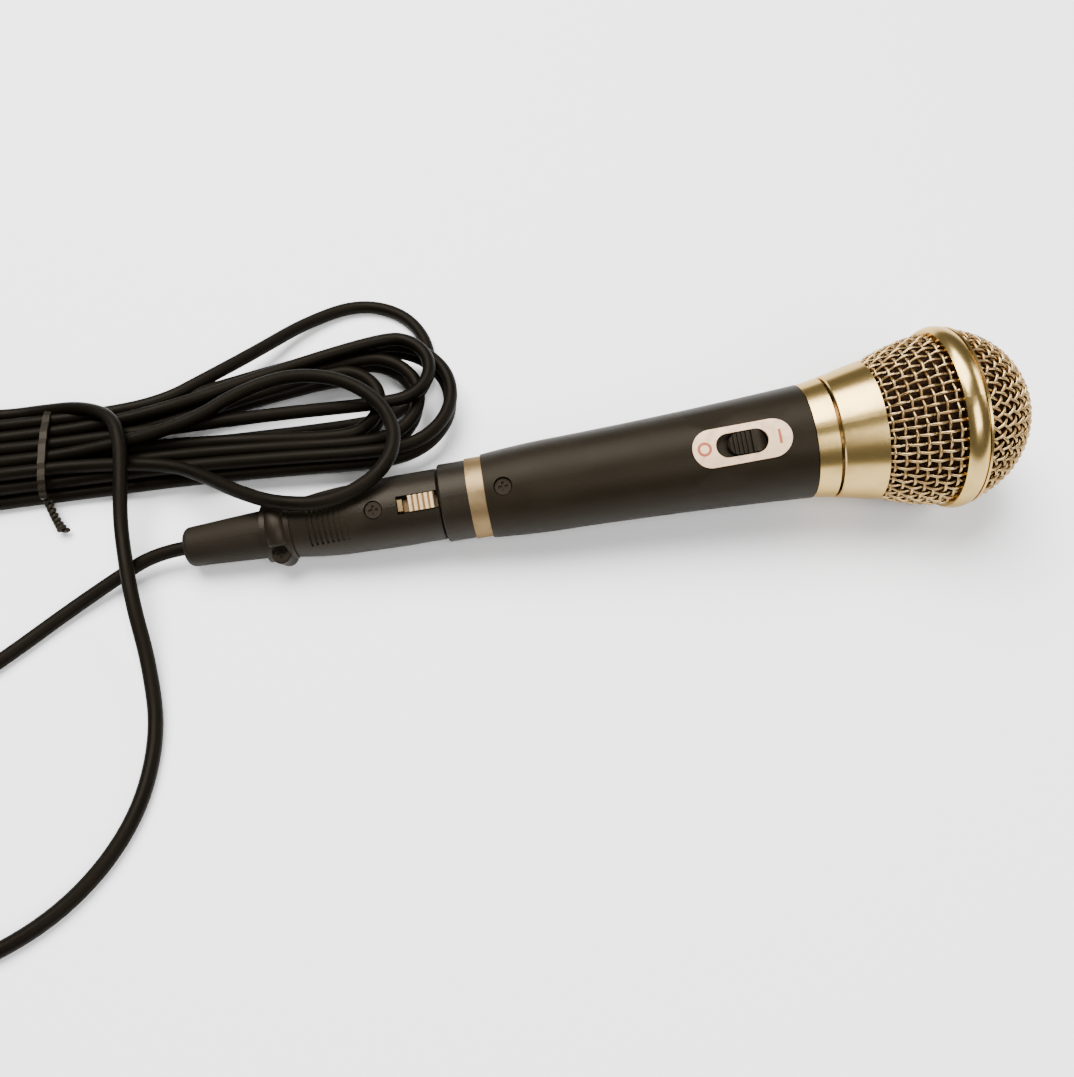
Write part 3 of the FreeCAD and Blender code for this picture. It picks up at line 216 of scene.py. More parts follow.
class Level:
    """A number that varies over a surface. An expression on levels adds its Math nodes."""

    def __init__(self, finish, socket):
        self.finish = finish
        self.socket = socket

    def math(self, operation, *values):
        return self.finish.node("ShaderNodeMath", {"operation": operation}, dict(enumerate(values)))

    def __add__(self, other):
        return self.math("ADD", self, other)

    def __sub__(self, other):
        return self.math("SUBTRACT", self, other)

    def __rsub__(self, other):
        return self.math("SUBTRACT", other, self)

    def __mul__(self, other):
        return self.math("MULTIPLY", self, other)

    def __truediv__(self, other):
        return self.math("DIVIDE", self, other)

    def __pow__(self, other):
        return self.math("POWER", self, other)

    def __abs__(self):
        return self.math("ABSOLUTE", self)

    __radd__ = __add__
    __rmul__ = __mul__

    def at_least(self, other):
        return self.math("MAXIMUM", self, other)

    def edge(self, start, end):
        """0 below start, 1 above end, and smooth between them."""
        ranges = {1: start, 2: end, 3: 0.0, 4: 1.0}
        if start > end:
            ranges = {1: end, 2: start, 3: 1.0, 4: 0.0}
        values = {0: self, **ranges}
        return self.finish.node("ShaderNodeMapRange", {"interpolation_type": "SMOOTHSTEP"}, values)


class Finish:
    """A material, named for what it is made of, with the nodes that vary it."""

    def __init__(self, name, **constants):
        if name in bpy.data.materials:
            bpy.data.materials[name].name = "frame_" + name
        self.material = bpy.data.materials.new(name)
        self.material.use_nodes = True
        self.tree = self.material.node_tree
        self.shader = self.tree.nodes["Principled BSDF"]
        self.shader.inputs["Specular Tint"].default_value = (*WARM_SHINE, 1.0)
        for socket, value in constants.items():
            self.shader.inputs[socket.replace("_", " ")].default_value = value

    def node(self, kind, settings=(), values=(), output=0):
        """A node of a kind, its settings made first, then its sockets' values or links."""
        node = self.tree.nodes.new(kind)
        for name, setting in dict(settings).items():
            setattr(node, name, setting)
        for key, value in dict(values).items():
            self.feed(node.inputs[key], value)
        return Level(self, node.outputs[output])

    def feed(self, socket, value):
        if isinstance(value, Level):
            self.tree.links.new(value.socket, socket)
        else:
            socket.default_value = value

    def set(self, name, value):
        """Feed one of the shader's own sockets."""
        self.feed(self.shader.inputs[name], value)

    def blend(self, share, low, high):
        """One colour turning into another as a level goes from 0 to 1."""
        values = {0: share, 6: self.colour(low), 7: self.colour(high)}
        return self.node("ShaderNodeMix", {"data_type": "RGBA"}, values, 2)

    @staticmethod
    def colour(value):
        return value if isinstance(value, Level) else (*value, 1.0)

    def place(self):
        return self.node("ShaderNodeTexCoord", output="Object")

    def stretched(self, place, x, y, z):
        return self.node("ShaderNodeVectorMath", {"operation": "MULTIPLY"}, {0: place, 1: (x, y, z)})

    def noise(self, place, scale, detail=3.0, roughness=0.55):
        values = {"Vector": place, "Scale": scale, "Detail": detail, "Roughness": roughness}
        return self.node("ShaderNodeTexNoise", {}, values)

    def cells(self, place, scale):
        return self.node("ShaderNodeTexVoronoi", {"feature": "F1"}, {"Vector": place, "Scale": scale})

    def along(self, direction):
        """Distance in mm from the microphone's zero along a direction of its own."""
        offset = self.node("ShaderNodeVectorMath", {"operation": "SUBTRACT"}, {0: self.place(), 1: ORIGIN})
        values = {0: offset, 1: direction}
        return self.node("ShaderNodeVectorMath", {"operation": "DOT_PRODUCT"}, values, "Value") / MM

    def lathe(self):
        """Place for turned parts: along the axis, out from it, and round it."""
        across, front = self.along(ACROSS), self.along(FRONT)
        out = (across * across + front * front) ** 0.5
        round_it = self.node("ShaderNodeMath", {"operation": "ARCTAN2"}, {0: across, 1: front})
        return self.node("ShaderNodeCombineXYZ", {}, {0: self.along(AXIS), 1: out, 2: round_it})

    def bump(self, height, distance, strength=1.0):
        values = {"Height": height, "Distance": distance, "Strength": strength}
        self.set("Normal", self.node("ShaderNodeBump", {}, values))


# --- finishes --------------------------------------------------------------------------------

MOTTLE_DETAIL = 4.0
# The plate's two marks, in mm: how far in from its ends, and their line and half size.
MARK_INSET = 3.2
MARK_LINE = 0.5
MARK_SIZE = 2.05
MARK_SOFT = 0.2
WIRE_SHADE = (0.72, 0.64, 0.55)
# Nodes with a finish of their own, in place of their slot's.
OWN_FINISHES = {"tail_ring": "dull_gold", "latch_button": "brushed_gold", "latch_leaf": "dull_gold"}


def scaled(colour, factor):
    return tuple(channel * factor for channel in colour)


def mottled(finish, low, high, scale):
    """A slow change between two near colours."""
    share = finish.noise(finish.place(), scale, MOTTLE_DETAIL).edge(0.35, 0.68)
    finish.set("Base Color", finish.blend(share, low, high))
    return share


def satin_coat():
    """Warm black sprayed coat on the handle, very finely grained, handled smoother in places."""
    looks = bpy.context.scene.microphone_finish
    finish = Finish("satin_black_coat", Metallic=0.0, Specular_IOR_Level=0.085)
    dark = tuple(looks.coat_colour)
    share = mottled(finish, dark, scaled(dark, 1.25), 55.0)
    grain = finish.noise(finish.place(), 3200.0, 2.0)
    finish.set("Roughness", 0.40 + share * 0.07 + grain * 0.06)
    finish.bump(grain, 0.00005, 0.5)
    return finish


def moulded_plastic(name, colour, roughness, grain_size=2600.0):
    finish = Finish(name, Metallic=0.0, Specular_IOR_Level=0.13)
    share = mottled(finish, colour, scaled(colour, 1.35), 70.0)
    grain = finish.cells(finish.place(), grain_size)
    finish.set("Roughness", roughness + share * 0.08)
    finish.bump(grain, 0.00006, 0.45)
    return finish


def cord_jacket():
    """Soft jacket with a faint twist from the strands under it."""
    looks = bpy.context.scene.microphone_finish
    finish = Finish("cord_jacket", Metallic=0.0, Specular_IOR_Level=0.055)
    dark = tuple(looks.cord_colour)
    share = mottled(finish, dark, scaled(dark, 1.6), 38.0)
    grain = finish.noise(finish.place(), 1500.0, 3.0)
    finish.set("Roughness", 0.42 + share * 0.14 + grain * 0.05)
    finish.bump(grain + finish.noise(finish.place(), 210.0, 1.0) * 2.0, 0.00008, 0.5)
    return finish


def plated(name, colour, dark, roughness, brushed):
    """Metal turned on a lathe and plated, with fine lines running round it."""
    finish = Finish(name, Metallic=1.0)
    lines = finish.noise(finish.stretched(finish.lathe(), 1.0, 0.4, 0.35), 9.0, 6.0, 0.7)
    stain = finish.noise(finish.place(), 160.0, 3.0).edge(0.45, 0.75)
    finish.set("Base Color", finish.blend(stain * 0.6 + lines * 0.25, colour, dark))
    finish.set("Roughness", roughness + lines * brushed + stain * 0.05)
    finish.bump(lines, 0.00004, brushed * 2.0)
    return finish


def wire_plate():
    """Plated mesh wire, darker and browner in random patches."""
    looks = bpy.context.scene.microphone_finish
    bright = tuple(looks.wire_colour)
    finish = Finish("wire_mesh", Metallic=1.0)
    stain = finish.noise(finish.place(), 240.0, 3.0).edge(0.42, 0.7)
    shaded = tuple(channel * share for channel, share in zip(bright, WIRE_SHADE))
    finish.set("Base Color", finish.blend(stain, bright, shaded))
    finish.set("Roughness", 0.27 + stain * 0.15)
    finish.bump(finish.noise(finish.place(), 2500.0, 2.0), 0.00003, 0.4)
    return finish


def open_foam():
    finish = Finish("foam", Metallic=0.0, Roughness=0.95, Specular_IOR_Level=0.03)
    pores = finish.cells(finish.place(), 1100.0)
    colour = finish.blend(pores.edge(0.1, 0.6), (0.004, 0.0022, 0.0014), (0.020, 0.0105, 0.006))
    finish.set("Base Color", colour)
    finish.bump(pores, 0.0005, 0.9)
    return finish


def switch_face():
    """Pale painted plate with a red bar at the on end and a red ring at the off end."""
    finish = Finish("switch_face", Metallic=0.0, Specular_IOR_Level=0.2)
    low, high = local_box("switch_plate")
    x, y = finish.along(AXIS), finish.along(ACROSS)
    full = MARK_LINE * 0.55
    bar_line = abs(x - (high.x - MARK_INSET)).edge(MARK_LINE, full)
    bar = bar_line * abs(y).edge(MARK_SIZE, MARK_SIZE - MARK_SOFT)
    off_x = x - (low.x + MARK_INSET)
    out = (off_x * off_x + y * y) ** 0.5
    ring = abs(out - (MARK_SIZE - MARK_LINE)).edge(MARK_LINE, full)
    mark = bar.at_least(ring)
    wear = finish.noise(finish.place(), 420.0, 4.0).edge(0.4, 0.72)
    paint = finish.blend(wear, (0.72, 0.50, 0.31), (0.56, 0.37, 0.22))
    finish.set("Base Color", finish.blend(mark * 0.9, paint, (0.26, 0.035, 0.015)))
    finish.set("Roughness", 0.36 + wear * 0.12)
    finish.bump(finish.noise(finish.place(), 2400.0, 2.0) - mark * 0.6, 0.00004, 0.5)
    return finish


def machined(name, colour, roughness, metallic=1.0):
    """Plain metal or filled plastic inside the microphone and on its screws."""
    finish = Finish(name, Metallic=metallic)
    share = mottled(finish, colour, scaled(colour, 0.8), 300.0)
    finish.set("Roughness", roughness + share * 0.12)
    finish.bump(finish.noise(finish.place(), 2800.0, 2.0), 0.00003, 0.5)
    return finish


def clear_film():
    finish = Finish("clear_film", Metallic=0.0, Transmission_Weight=0.4)
    share = mottled(finish, (0.72, 0.69, 0.62), (0.60, 0.56, 0.49), 260.0)
    finish.set("Roughness", 0.15 + share * 0.1)
    return finish


def all_finishes():
    """Every finish by name, as the record's slots and OWN_FINISHES call them."""
    looks = bpy.context.scene.microphone_finish
    gold = tuple(looks.gold_colour)
    return {
        "satin_black_coat": satin_coat(),
        "black_plastic": moulded_plastic("black_plastic", tuple(looks.plastic_colour), 0.40),
        "black_rubber": moulded_plastic("black_rubber", (0.0062, 0.0048, 0.0031), 0.58, 1600.0),
        "cord_jacket": cord_jacket(),
        "polished_gold": plated("polished_gold", gold, scaled(gold, 0.72), 0.17, 0.08),
        "brushed_gold": plated("brushed_gold", (0.52, 0.385, 0.225), (0.36, 0.25, 0.14), 0.30, 0.20),
        "dull_gold": plated("dull_gold", (0.19, 0.130, 0.064), (0.105, 0.066, 0.030), 0.36, 0.20),
        "wire_mesh": wire_plate(),
        "foam": open_foam(),
        "switch_face": switch_face(),
        "steel": machined("steel", (0.60, 0.60, 0.61), 0.28),
        "black_screw": machined("black_screw", (0.022, 0.018, 0.013), 0.36),
        "nickel": machined("nickel", (0.76, 0.74, 0.70), 0.16),
        "copper": machined("copper", (0.70, 0.34, 0.18), 0.30),
        "ferrite": machined("ferrite", (0.06, 0.06, 0.062), 0.55, 0.3),
        "clear_film": clear_film(),
        "ivory_plastic": machined("ivory_plastic", (0.55, 0.49, 0.38), 0.45, 0.0),
    }


def paint(piece, slot):
    piece.data.materials.clear()
    piece.data.materials.append(bpy.data.materials[slot])


# --- making pieces ---------------------------------------------------------------------------

def add_piece(name, data, body, slot):
    piece = bpy.data.objects.new(name, data)
    bpy.context.collection.objects.link(piece)
    paint(piece, slot)
    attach(piece, body)
    return piece


def wire_curve(name, lines, radius, closed=False, sides=3):
    """A curve object's data with a smooth wire along each line of points."""
    data = bpy.data.curves.new(name, "CURVE")
    data.dimensions = "3D"
    data.bevel_depth = radius
    data.bevel_resolution = sides
    data.use_fill_caps = not closed
    data.resolution_u = 6
    for line in lines:
        spline = data.splines.new("NURBS")
        spline.points.add(len(line) - 1)
        for point, place in zip(spline.points, line):
            point.co = (*place, 1.0)
        spline.order_u = 3
        spline.use_cyclic_u = closed
        spline.use_endpoint_u = not closed
    return data


def closed_shell(name, rings, smooth=True, looped=True):
    """A mesh skinned over closed rings of points. Its two ends are joined, or else capped."""
    mesh = bpy.data.meshes.new(name)
    form = bmesh.new()
    rows = [[form.verts.new(point) for point in ring] for ring in rings]
    pairs = list(zip(rows, rows[1:]))
    if looped:
        pairs.append((rows[-1], rows[0]))
    else:
        form.faces.new(rows[0])
        form.faces.new(rows[-1])
    for row, following in pairs:
        for i, here in enumerate(row):
            after = (i + 1) % len(row)
            form.faces.new((here, row[after], following[after], following[i]))
    bmesh.ops.recalc_face_normals(form, faces=form.faces)
    form.to_mesh(mesh)
    form.free()
    for face in mesh.polygons:
        face.use_smooth = smooth
    return mesh


def round_axis(x, radius, angle):
    """A point in the scene at a station, a radius and an angle of the microphone, in mm."""
    return mic(x, radius * math.sin(angle), radius * math.cos(angle))


# --- the grille ------------------------------------------------------------------------------

def radius_of(node):
    low, high = local_box(node)
    return (high.z - low.z) / 2


def weave_sign(i, j):
    return 1 if (i + j) % 2 else -1


# A smooth line through points that go in and out by turns swings half as far as they do.
SWING = 2.0
# The skirt's step in from the collar and its swell, and where its ribs' ends lie, in mm or wires.
SKIRT_STEP = 0.3
SKIRT_SWELL = 0.75
RIB_END = -0.4
# The foam's wall, steps and lumps, in mm.
FOAM_THICK = 2.2
FOAM_STEP = 2.6
FOAM_GAP = 0.3
FOAM_STEPS = 9
FOAM_SIDES = 72
FOAM_LUMP = 0.22
FOAM_LUMP_SCALE = 0.6
FOAM_SWELL = 0.7
# The share of its widest radius inside which the foam is thinned along the axis.
FOAM_CROWN = 0.8
POLE_RAD = 0.3


class Skirt:
    """The flared part of the grille, as the middle surface of its woven wire."""

    def __init__(self, sizes):
        low, high = local_box("grille_skirt")
        self.wire = sizes.wire_diameter / 2 / MM
        self.tail, self.head = low.x, high.x
        self.head_rad = radius_of("grille_skirt")
        self.tail_rad = radius_of("head_collar") - SKIRT_STEP
        self.warps, self.rows = sizes.skirt_warps, sizes.skirt_rows

    def point(self, share, angle, outward):
        swell = 4 * SKIRT_SWELL * share * (1 - share)
        outer = self.tail_rad + (self.head_rad - self.tail_rad) * share + swell
        return round_axis(self.tail + (self.head - self.tail) * share,
                          outer - 2 * self.wire + outward * self.wire * SWING, angle)

    def angle(self, warp):
        return math.tau * warp / self.warps

    def hoops(self):
        """Wires that run round the skirt."""
        lines = []
        for row in range(self.rows):
            share = (row + 0.5) / self.rows
            lines.append([self.point(share, self.angle(warp), weave_sign(row, warp))
                          for warp in range(self.warps)])
        return lines

    def ribs(self):
        """Wires that run along the skirt."""
        lines = []
        for warp in range(self.warps):
            crossings = [self.point((row + 0.5) / self.rows, self.angle(warp), -weave_sign(row, warp))
                         for row in range(self.rows)]
            ends = [self.point(share, self.angle(warp), RIB_END) for share in (0.0, 1.0)]
            lines.append([ends[0]] + crossings + [ends[1]])
        return lines


class Dome:
    """The cap of the grille: a flat square weave drawn over part of a ball."""

    def __init__(self, sizes):
        low, high = local_box("grille_dome")
        edge, rise = radius_of("grille_dome"), high.x - low.x
        self.wire = sizes.wire_diameter / 2 / MM
        self.ball = (edge ** 2 + rise ** 2) / (2 * rise)
        self.centre = high.x - self.ball
        self.middle = self.ball - 2 * self.wire
        self.reach = self.ball * math.acos((low.x - self.centre) / self.ball)
        self.pitch = sizes.dome_pitch / MM
        self.turn = sizes.dome_turn

    def point(self, u, v, outward):
        """A place on the flat mesh, drawn over the ball with its distance from the pole kept."""
        away = math.hypot(u, v) / self.ball
        angle = math.atan2(u, v) + self.turn
        radius = self.middle + outward * self.wire * SWING
        return round_axis(self.centre + radius * math.cos(away), radius * math.sin(away), angle)

    def wires(self):
        lines = []
        count = int(self.reach / self.pitch)
        for crosswise in (False, True):
            for i in range(-count, count + 1):
                u = i * self.pitch
                half = math.sqrt(self.reach ** 2 - u ** 2)
                stops = [(-half, None)]
                steps = int(half / self.pitch)
                stops += [(j * self.pitch, j) for j in range(-steps, steps + 1)]
                stops.append((half, None))
                line = []
                for v, j in stops:
                    outward = 0 if j is None else weave_sign(i, j) * (1 if crosswise else -1)
                    line.append(self.point(v, u, outward) if crosswise else self.point(u, v, outward))
                lines.append(line)
        return lines


def foam_outline():
    """Half section of the foam liner: out along the skirt and dome, and back inside."""
    low, high = local_box("foam_liner")
    band = local_box("grille_band")
    straight = radius_of("foam_liner")
    neck = radius_of("head_collar") - FOAM_STEP
    ball = high.x - (local_box("grille_dome")[1].x - Dome(bpy.context.scene.microphone_sizes).ball)
    centre = high.x - ball
    outer = [(low.x, neck)]
    outer.append(((low.x + band[0].x) / 2, (neck + straight) / 2 + SKIRT_SWELL * FOAM_SWELL))
    outer += [(band[0].x, straight - FOAM_GAP), (band[1].x - FOAM_GAP, straight - FOAM_GAP)]
    start = math.acos((band[1].x - centre) / ball)
    for step in range(FOAM_STEPS):
        angle = start * (1 - step / FOAM_STEPS)
        outer.append((centre + ball * math.cos(angle), ball * math.sin(angle)))
    outer.append((high.x, POLE_RAD))
    inner = []
    for x, radius in reversed(outer):
        crown = radius < straight * FOAM_CROWN and x > band[1].x
        inner.append((x - FOAM_THICK if crown else x, max(radius - FOAM_THICK, POLE_RAD)))
    return outer + inner


def make_foam():
    rings = []
    for x, radius in foam_outline():
        ring = []
        for i in range(FOAM_SIDES):
            angle = math.tau * i / FOAM_SIDES
            place = Vector((x, radius * math.sin(angle), radius * math.cos(angle)))
            lump = noise.noise(place * FOAM_LUMP_SCALE)
            ring.append(round_axis(x, max(radius - FOAM_LUMP * (1 + lump), POLE_RAD / 2), angle))
        rings.append(ring)
    return closed_shell("foam", rings)


# --- the clamp's rib -------------------------------------------------------------------------

RIB_REACH = math.radians(34)
RIB_STEPS = 16
# along the axis from the clamp's middle, and out from its surface
RIB_PROFILE = ((-2.65, -0.4), (-2.45, 0.3), (-1.6, 0.75), (0.0, 0.95), (1.6, 0.75), (2.45, 0.3), (2.65, -0.4))


def clamp_rib():
    """A rounded rib moulded over the cable clamp, from one screw ear to the other."""
    low, high = local_box("cable_clamp")
    middle = (low.x + high.x) / 2
    rings = []
    for step in range(RIB_STEPS + 1):
        angle = RIB_REACH * (2 * step / RIB_STEPS - 1)
        rings.append([round_axis(middle + x, high.z + out, angle) for x, out in RIB_PROFILE])
    return closed_shell("clamp_rib", rings, looped=False)


# --- the tie ---------------------------------------------------------------------------------

TIE_SIDES = 48
TIE_THICK = 0.8
TIE_INSET = 0.1
TIE_WIDTH_SHARE = 0.86
TIE_LEAN = 0.9
# How deep the band sinks between the strands, and how many strands it lies over at half of it.
TIE_DENT = 0.35
TIE_DENTS = 9
TAIL_LENGTH = 13.0
TAIL_TURNS = 3.5
TAIL_STEPS = 24
TAIL_RAD = 0.65
TAIL_START_IN = 1.2
TAIL_START_UP = 4.4
# How far the twisted pair runs along the hank and drops, and how it bends and opens at its end.
TAIL_ALONG = 4.5
TAIL_DROP = -2.0
TAIL_BEND = 0.25
TAIL_TWIST_RAD = 0.75
TAIL_OPEN = 0.5


def tie_band():
    """A flat ribbon round the hank's waist, drawn in a little between the strands."""
    low, high = (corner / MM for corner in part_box("hank_tie"))
    middle = (low + high) / 2
    half = (high - low) / 2
    rings = []
    for i in range(TIE_SIDES):
        angle = math.tau * i / TIE_SIDES
        dent = TIE_DENT * math.sin(angle * TIE_DENTS) ** 2
        ring = []
        for across, out in ((-1, -1), (-1, 0), (1, 0), (1, -1)):
            reach = out * TIE_THICK - dent - TIE_INSET
            y = middle.y + (half.y + reach) * math.cos(angle)
            z = middle.z + (half.z + reach) * math.sin(angle)
            x = middle.x + across * half.x * TIE_WIDTH_SHARE + TIE_LEAN * math.sin(angle)
            ring.append(Vector((x, y, z)) * MM)
        rings.append(ring)
    return closed_shell("tie_band", rings, smooth=False)


def tie_tails():
    """The tie's two ends, twisted round each other on the near side."""
    low, high = (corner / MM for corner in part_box("hank_tie"))
    start = Vector(((low.x + high.x) / 2, low.y + TAIL_START_IN, TAIL_START_UP))
    lines = []
    for strand in range(2):
        line = []
        for step in range(TAIL_STEPS + 1):
            share = step / TAIL_STEPS
            angle = math.tau * TAIL_TURNS * share + math.pi * strand
            wide = TAIL_TWIST_RAD + TAIL_OPEN * share ** 4
            out = TAIL_LENGTH * share * (1 - TAIL_BEND * share)
            forward = Vector((TAIL_ALONG * share, -out, TAIL_DROP * share))
            twist = Vector((math.cos(angle), 0.0, math.sin(angle))) * wide
            line.append((start + forward + twist) * MM)
        lines.append(line)
    return wire_curve("tie_tails", lines, TAIL_RAD * MM)


# --- what a user can change ------------------------------------------------------------------

def tint(name, description, default):
    return bpy.props.FloatVectorProperty(name=name, description=description, default=default,
                                         subtype="COLOR", size=3, min=0.0, max=1.0)


def length(name, description, default):
    return bpy.props.FloatProperty(name=name, description=description, default=default, unit="LENGTH",
                                   min=0.0)


def count(name, description, default, least):
    return bpy.props.IntProperty(name=name, description=description, default=default, min=least)


class MicrophoneSizes(bpy.types.PropertyGroup):
    """Sizes of the pieces made here"""
    wire_diameter: length("Grille wire", "Thickness of the woven wire", 0.00084)
    skirt_warps: count("Skirt wires", "Wires along the skirt", 56, 8)
    skirt_rows: count("Skirt rows", "Wires round the skirt", 7, 2)
    dome_pitch: length("Dome pitch", "Distance between the dome's wires", 0.0028)
    dome_turn: bpy.props.FloatProperty(name="Dome turn", description="How far the dome's weave is turned",
                                       default=0.5, unit="ROTATION")
    cord_diameter: length("Cord", "Thickness of the cord", 0.004)


class MicrophoneFinish(bpy.types.PropertyGroup):
    """Colours of the finishes"""
    coat_colour: tint("Handle coat", "Colour of the handle's coat", (0.0075, 0.0056, 0.0031))
    plastic_colour: tint("Plastic", "Colour of the connector", (0.0070, 0.0054, 0.0034))
    cord_colour: tint("Cord jacket", "Colour of the cord", (0.0020, 0.0015, 0.0009))
    gold_colour: tint("Gold plate", "Colour of the polished metal", (0.50, 0.345, 0.125))
    wire_colour: tint("Mesh wire", "Colour of the woven wire", (0.37, 0.255, 0.120))


# --- operators -------------------------------------------------------------------------------

CORD_SIDES = 5
CORD_SMOOTHNESS = 8
GRILLE_SIDES = 1
GRILLE_SMOOTHNESS = 3


class MICROPHONE_OT_finishes(bpy.types.Operator):
    """Make the finishes and give every part of the frame its own"""
    bl_idname = "microphone.finishes"
    bl_label = "Finishes"

    def execute(self, context):
        made = all_finishes()
        for part in frame["record"]["subparts"]:
            piece = NODES[part["node"]]
            name = OWN_FINISHES.get(part["node"], part["material_slot"])
            piece.data.materials.clear()
            piece.data.materials.append(made[name].material)
        return {"FINISHED"}


class MICROPHONE_OT_cord(bpy.types.Operator):
    """Lay the cord: lead, loops, hank and jack lead as one smooth line"""
    bl_idname = "microphone.cord"
    bl_label = "Cord"

    def execute(self, context):
        thick = context.scene.microphone_sizes.cord_diameter
        route = cord_points()
        data = wire_curve("cord", [route], thick / 2, sides=CORD_SIDES)
        data.resolution_u = CORD_SMOOTHNESS
        cord = add_piece("cord", data, "cable", "cord_jacket")
        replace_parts(cord, "cord_lead", "cord_front_loop", "cord_back_loop", "cord_tail", "cord_hank")
        tie = add_piece("tie_band", tie_band(), "cable", "black_plastic")
        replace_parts(tie, "hank_tie")
        tails = add_piece("tie_tails", tie_tails(), "cable", "black_plastic")
        return {"FINISHED"}


class MICROPHONE_OT_clamp(bpy.types.Operator):
    """Mould the rib over the cable clamp"""
    bl_idname = "microphone.clamp"
    bl_label = "Clamp rib"

    def execute(self, context):
        add_piece("clamp_rib", clamp_rib(), "cable", "black_plastic")
        return {"FINISHED"}


class MICROPHONE_OT_skirt(bpy.types.Operator):
    """Weave the flared skirt of the grille"""
    bl_idname = "microphone.skirt"
    bl_label = "Grille skirt"

    def execute(self, context):
        sizes = context.scene.microphone_sizes
        skirt = Skirt(sizes)
        thin = sizes.wire_diameter / 2
        hoops = wire_curve("skirt_hoops", skirt.hoops(), thin, closed=True, sides=GRILLE_SIDES)
        ribs = wire_curve("skirt_ribs", skirt.ribs(), thin, sides=GRILLE_SIDES)
        for data in (hoops, ribs):
            data.resolution_u = GRILLE_SMOOTHNESS
        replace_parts(add_piece("skirt_hoops", hoops, "head", "wire_mesh"), "grille_skirt")
        add_piece("skirt_ribs", ribs, "head", "wire_mesh")
        return {"FINISHED"}


class MICROPHONE_OT_dome(bpy.types.Operator):
    """Weave the dome of the grille"""
    bl_idname = "microphone.dome"
    bl_label = "Grille dome"

    def execute(self, context):
        sizes = context.scene.microphone_sizes
        data = wire_curve("dome_wires", Dome(sizes).wires(), sizes.wire_diameter / 2, sides=GRILLE_SIDES)
        data.resolution_u = GRILLE_SMOOTHNESS
        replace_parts(add_piece("dome_wires", data, "head", "wire_mesh"), "grille_dome")
        return {"FINISHED"}


class MICROPHONE_OT_foam(bpy.types.Operator):
    """Make the foam that lines the grille"""
    bl_idname = "microphone.foam"
    bl_label = "Foam liner"

    def execute(self, context):
        foam = add_piece("foam_pad", make_foam(), "head", "foam")
        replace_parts(foam, "foam_liner")
        return {"FINISHED"}


# --- stage -----------------------------------------------------------------------------------

CAMERA_PLACE = Vector((-0.04146, -0.1527, 0.2542))
CAMERA_LEAN = math.radians(30.0)
CAMERA_TURN = math.radians(-8.43)
CAMERA_LENS = 33.98
CAMERA_SENSOR = 36.0
FLOOR_SIZE = 6.0
# name, place, size and watts of each soft light
LIGHTS = (
    ("key", (-0.25, 0.45, 1.15), 1.0, 56.0),
    ("front", (0.25, -0.75, 0.95), 0.6, 14.0),
    ("side", (1.05, 0.2, 0.6), 0.5, 7.0),
)
WORLD_LIGHT = 0.22
WORLD_COLOUR = (1.0, 0.99, 0.975)
FLOOR_COLOUR = (0.93, 0.93, 0.93)
CLIP_START = 0.01


def make_floor():
    """A pale sweep under the object."""
    form = bmesh.new()
    half = FLOOR_SIZE / 2
    corners = [form.verts.new((x * half, y * half, 0.0)) for x, y in ((-1, -1), (1, -1), (1, 1), (-1, 1))]
    form.faces.new(corners)
    mesh = bpy.data.meshes.new("floor")
    form.to_mesh(mesh)
    form.free()
    floor = bpy.data.objects.new("floor", mesh)
    bpy.context.collection.objects.link(floor)
    finish = Finish("floor", Roughness=0.7, Specular_IOR_Level=0.2)
    finish.shader.inputs["Base Color"].default_value = (*FLOOR_COLOUR, 1.0)
    mesh.materials.append(finish.material)


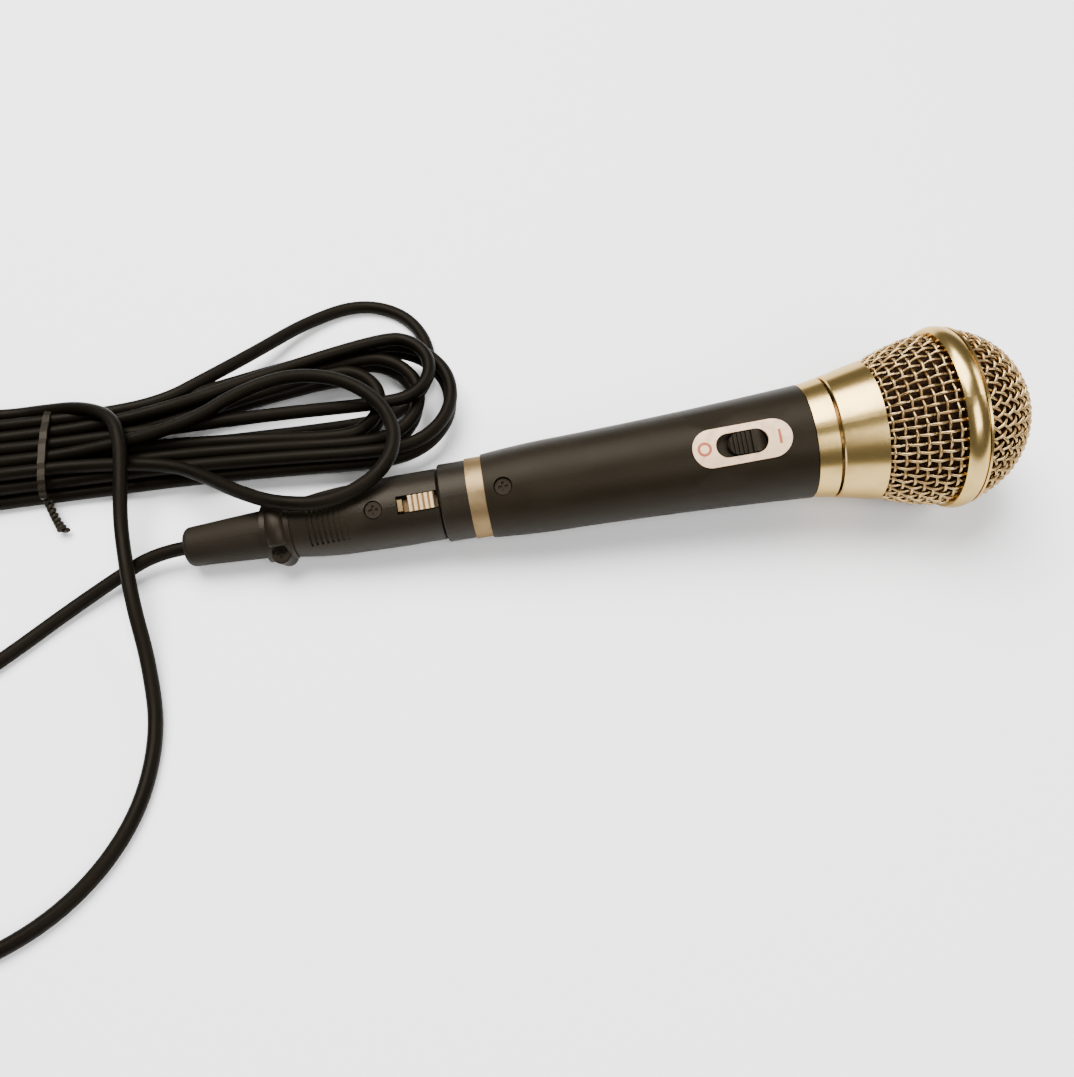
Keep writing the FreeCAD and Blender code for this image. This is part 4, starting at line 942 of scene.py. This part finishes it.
class MICROPHONE_OT_stage(bpy.types.Operator):
    """Set the floor, the soft lights and the camera"""
    bl_idname = "microphone.stage"
    bl_label = "Stage"

    def execute(self, context):
        scene = context.scene
        make_floor()
        world = bpy.data.worlds.new("studio")
        world.use_nodes = True
        background = world.node_tree.nodes["Background"]
        background.inputs["Color"].default_value = (*WORLD_COLOUR, 1.0)
        background.inputs["Strength"].default_value = WORLD_LIGHT
        scene.world = world
        for name, place, side, watts in LIGHTS:
            lamp = bpy.data.lights.new(name, "AREA")
            lamp.size = side
            lamp.energy = watts
            light = bpy.data.objects.new(name, lamp)
            light.location = place
            light.rotation_mode = "QUATERNION"
            light.rotation_quaternion = (-Vector(place)).to_track_quat("-Z", "Y")
            context.collection.objects.link(light)
        lens = bpy.data.cameras.new("camera")
        lens.lens = CAMERA_LENS
        lens.sensor_width = CAMERA_SENSOR
        lens.clip_start = CLIP_START
        camera = bpy.data.objects.new("camera", lens)
        camera.location = CAMERA_PLACE
        camera.rotation_euler = (CAMERA_LEAN, 0.0, CAMERA_TURN)
        context.collection.objects.link(camera)
        scene.camera = camera
        return {"FINISHED"}


# --- panel and registration ------------------------------------------------------------------

OPERATORS = (
    MICROPHONE_OT_stage, MICROPHONE_OT_finishes, MICROPHONE_OT_cord, MICROPHONE_OT_clamp,
    MICROPHONE_OT_skirt, MICROPHONE_OT_dome, MICROPHONE_OT_foam,
)


class MICROPHONE_PT_parts(bpy.types.Panel):
    """Lists the microphone's sizes, colours and pieces"""
    bl_idname = "MICROPHONE_PT_parts"
    bl_label = "Microphone"
    bl_space_type = "VIEW_3D"
    bl_region_type = "UI"
    bl_category = "Microphone"

    def draw(self, context):
        for group in (context.scene.microphone_sizes, context.scene.microphone_finish):
            for name in group.__annotations__:
                self.layout.prop(group, name)
        for operator in OPERATORS:
            self.layout.operator(operator.bl_idname)


CLASSES = (MicrophoneSizes, MicrophoneFinish, *OPERATORS, MICROPHONE_PT_parts)


def register():
    for kind in CLASSES:
        bpy.utils.register_class(kind)
    bpy.types.Scene.microphone_sizes = bpy.props.PointerProperty(type=MicrophoneSizes)
    bpy.types.Scene.microphone_finish = bpy.props.PointerProperty(type=MicrophoneFinish)


def unregister():
    del bpy.types.Scene.microphone_finish
    del bpy.types.Scene.microphone_sizes
    for kind in reversed(CLASSES):
        bpy.utils.unregister_class(kind)


def main():
    """Register the add-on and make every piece."""
    register()
    make = bpy.ops.microphone
    make.stage()
    make.finishes()
    make.cord()
    make.clamp()
    make.skirt()
    make.dome()
    make.foam()


if __name__ == "__main__":
    main()
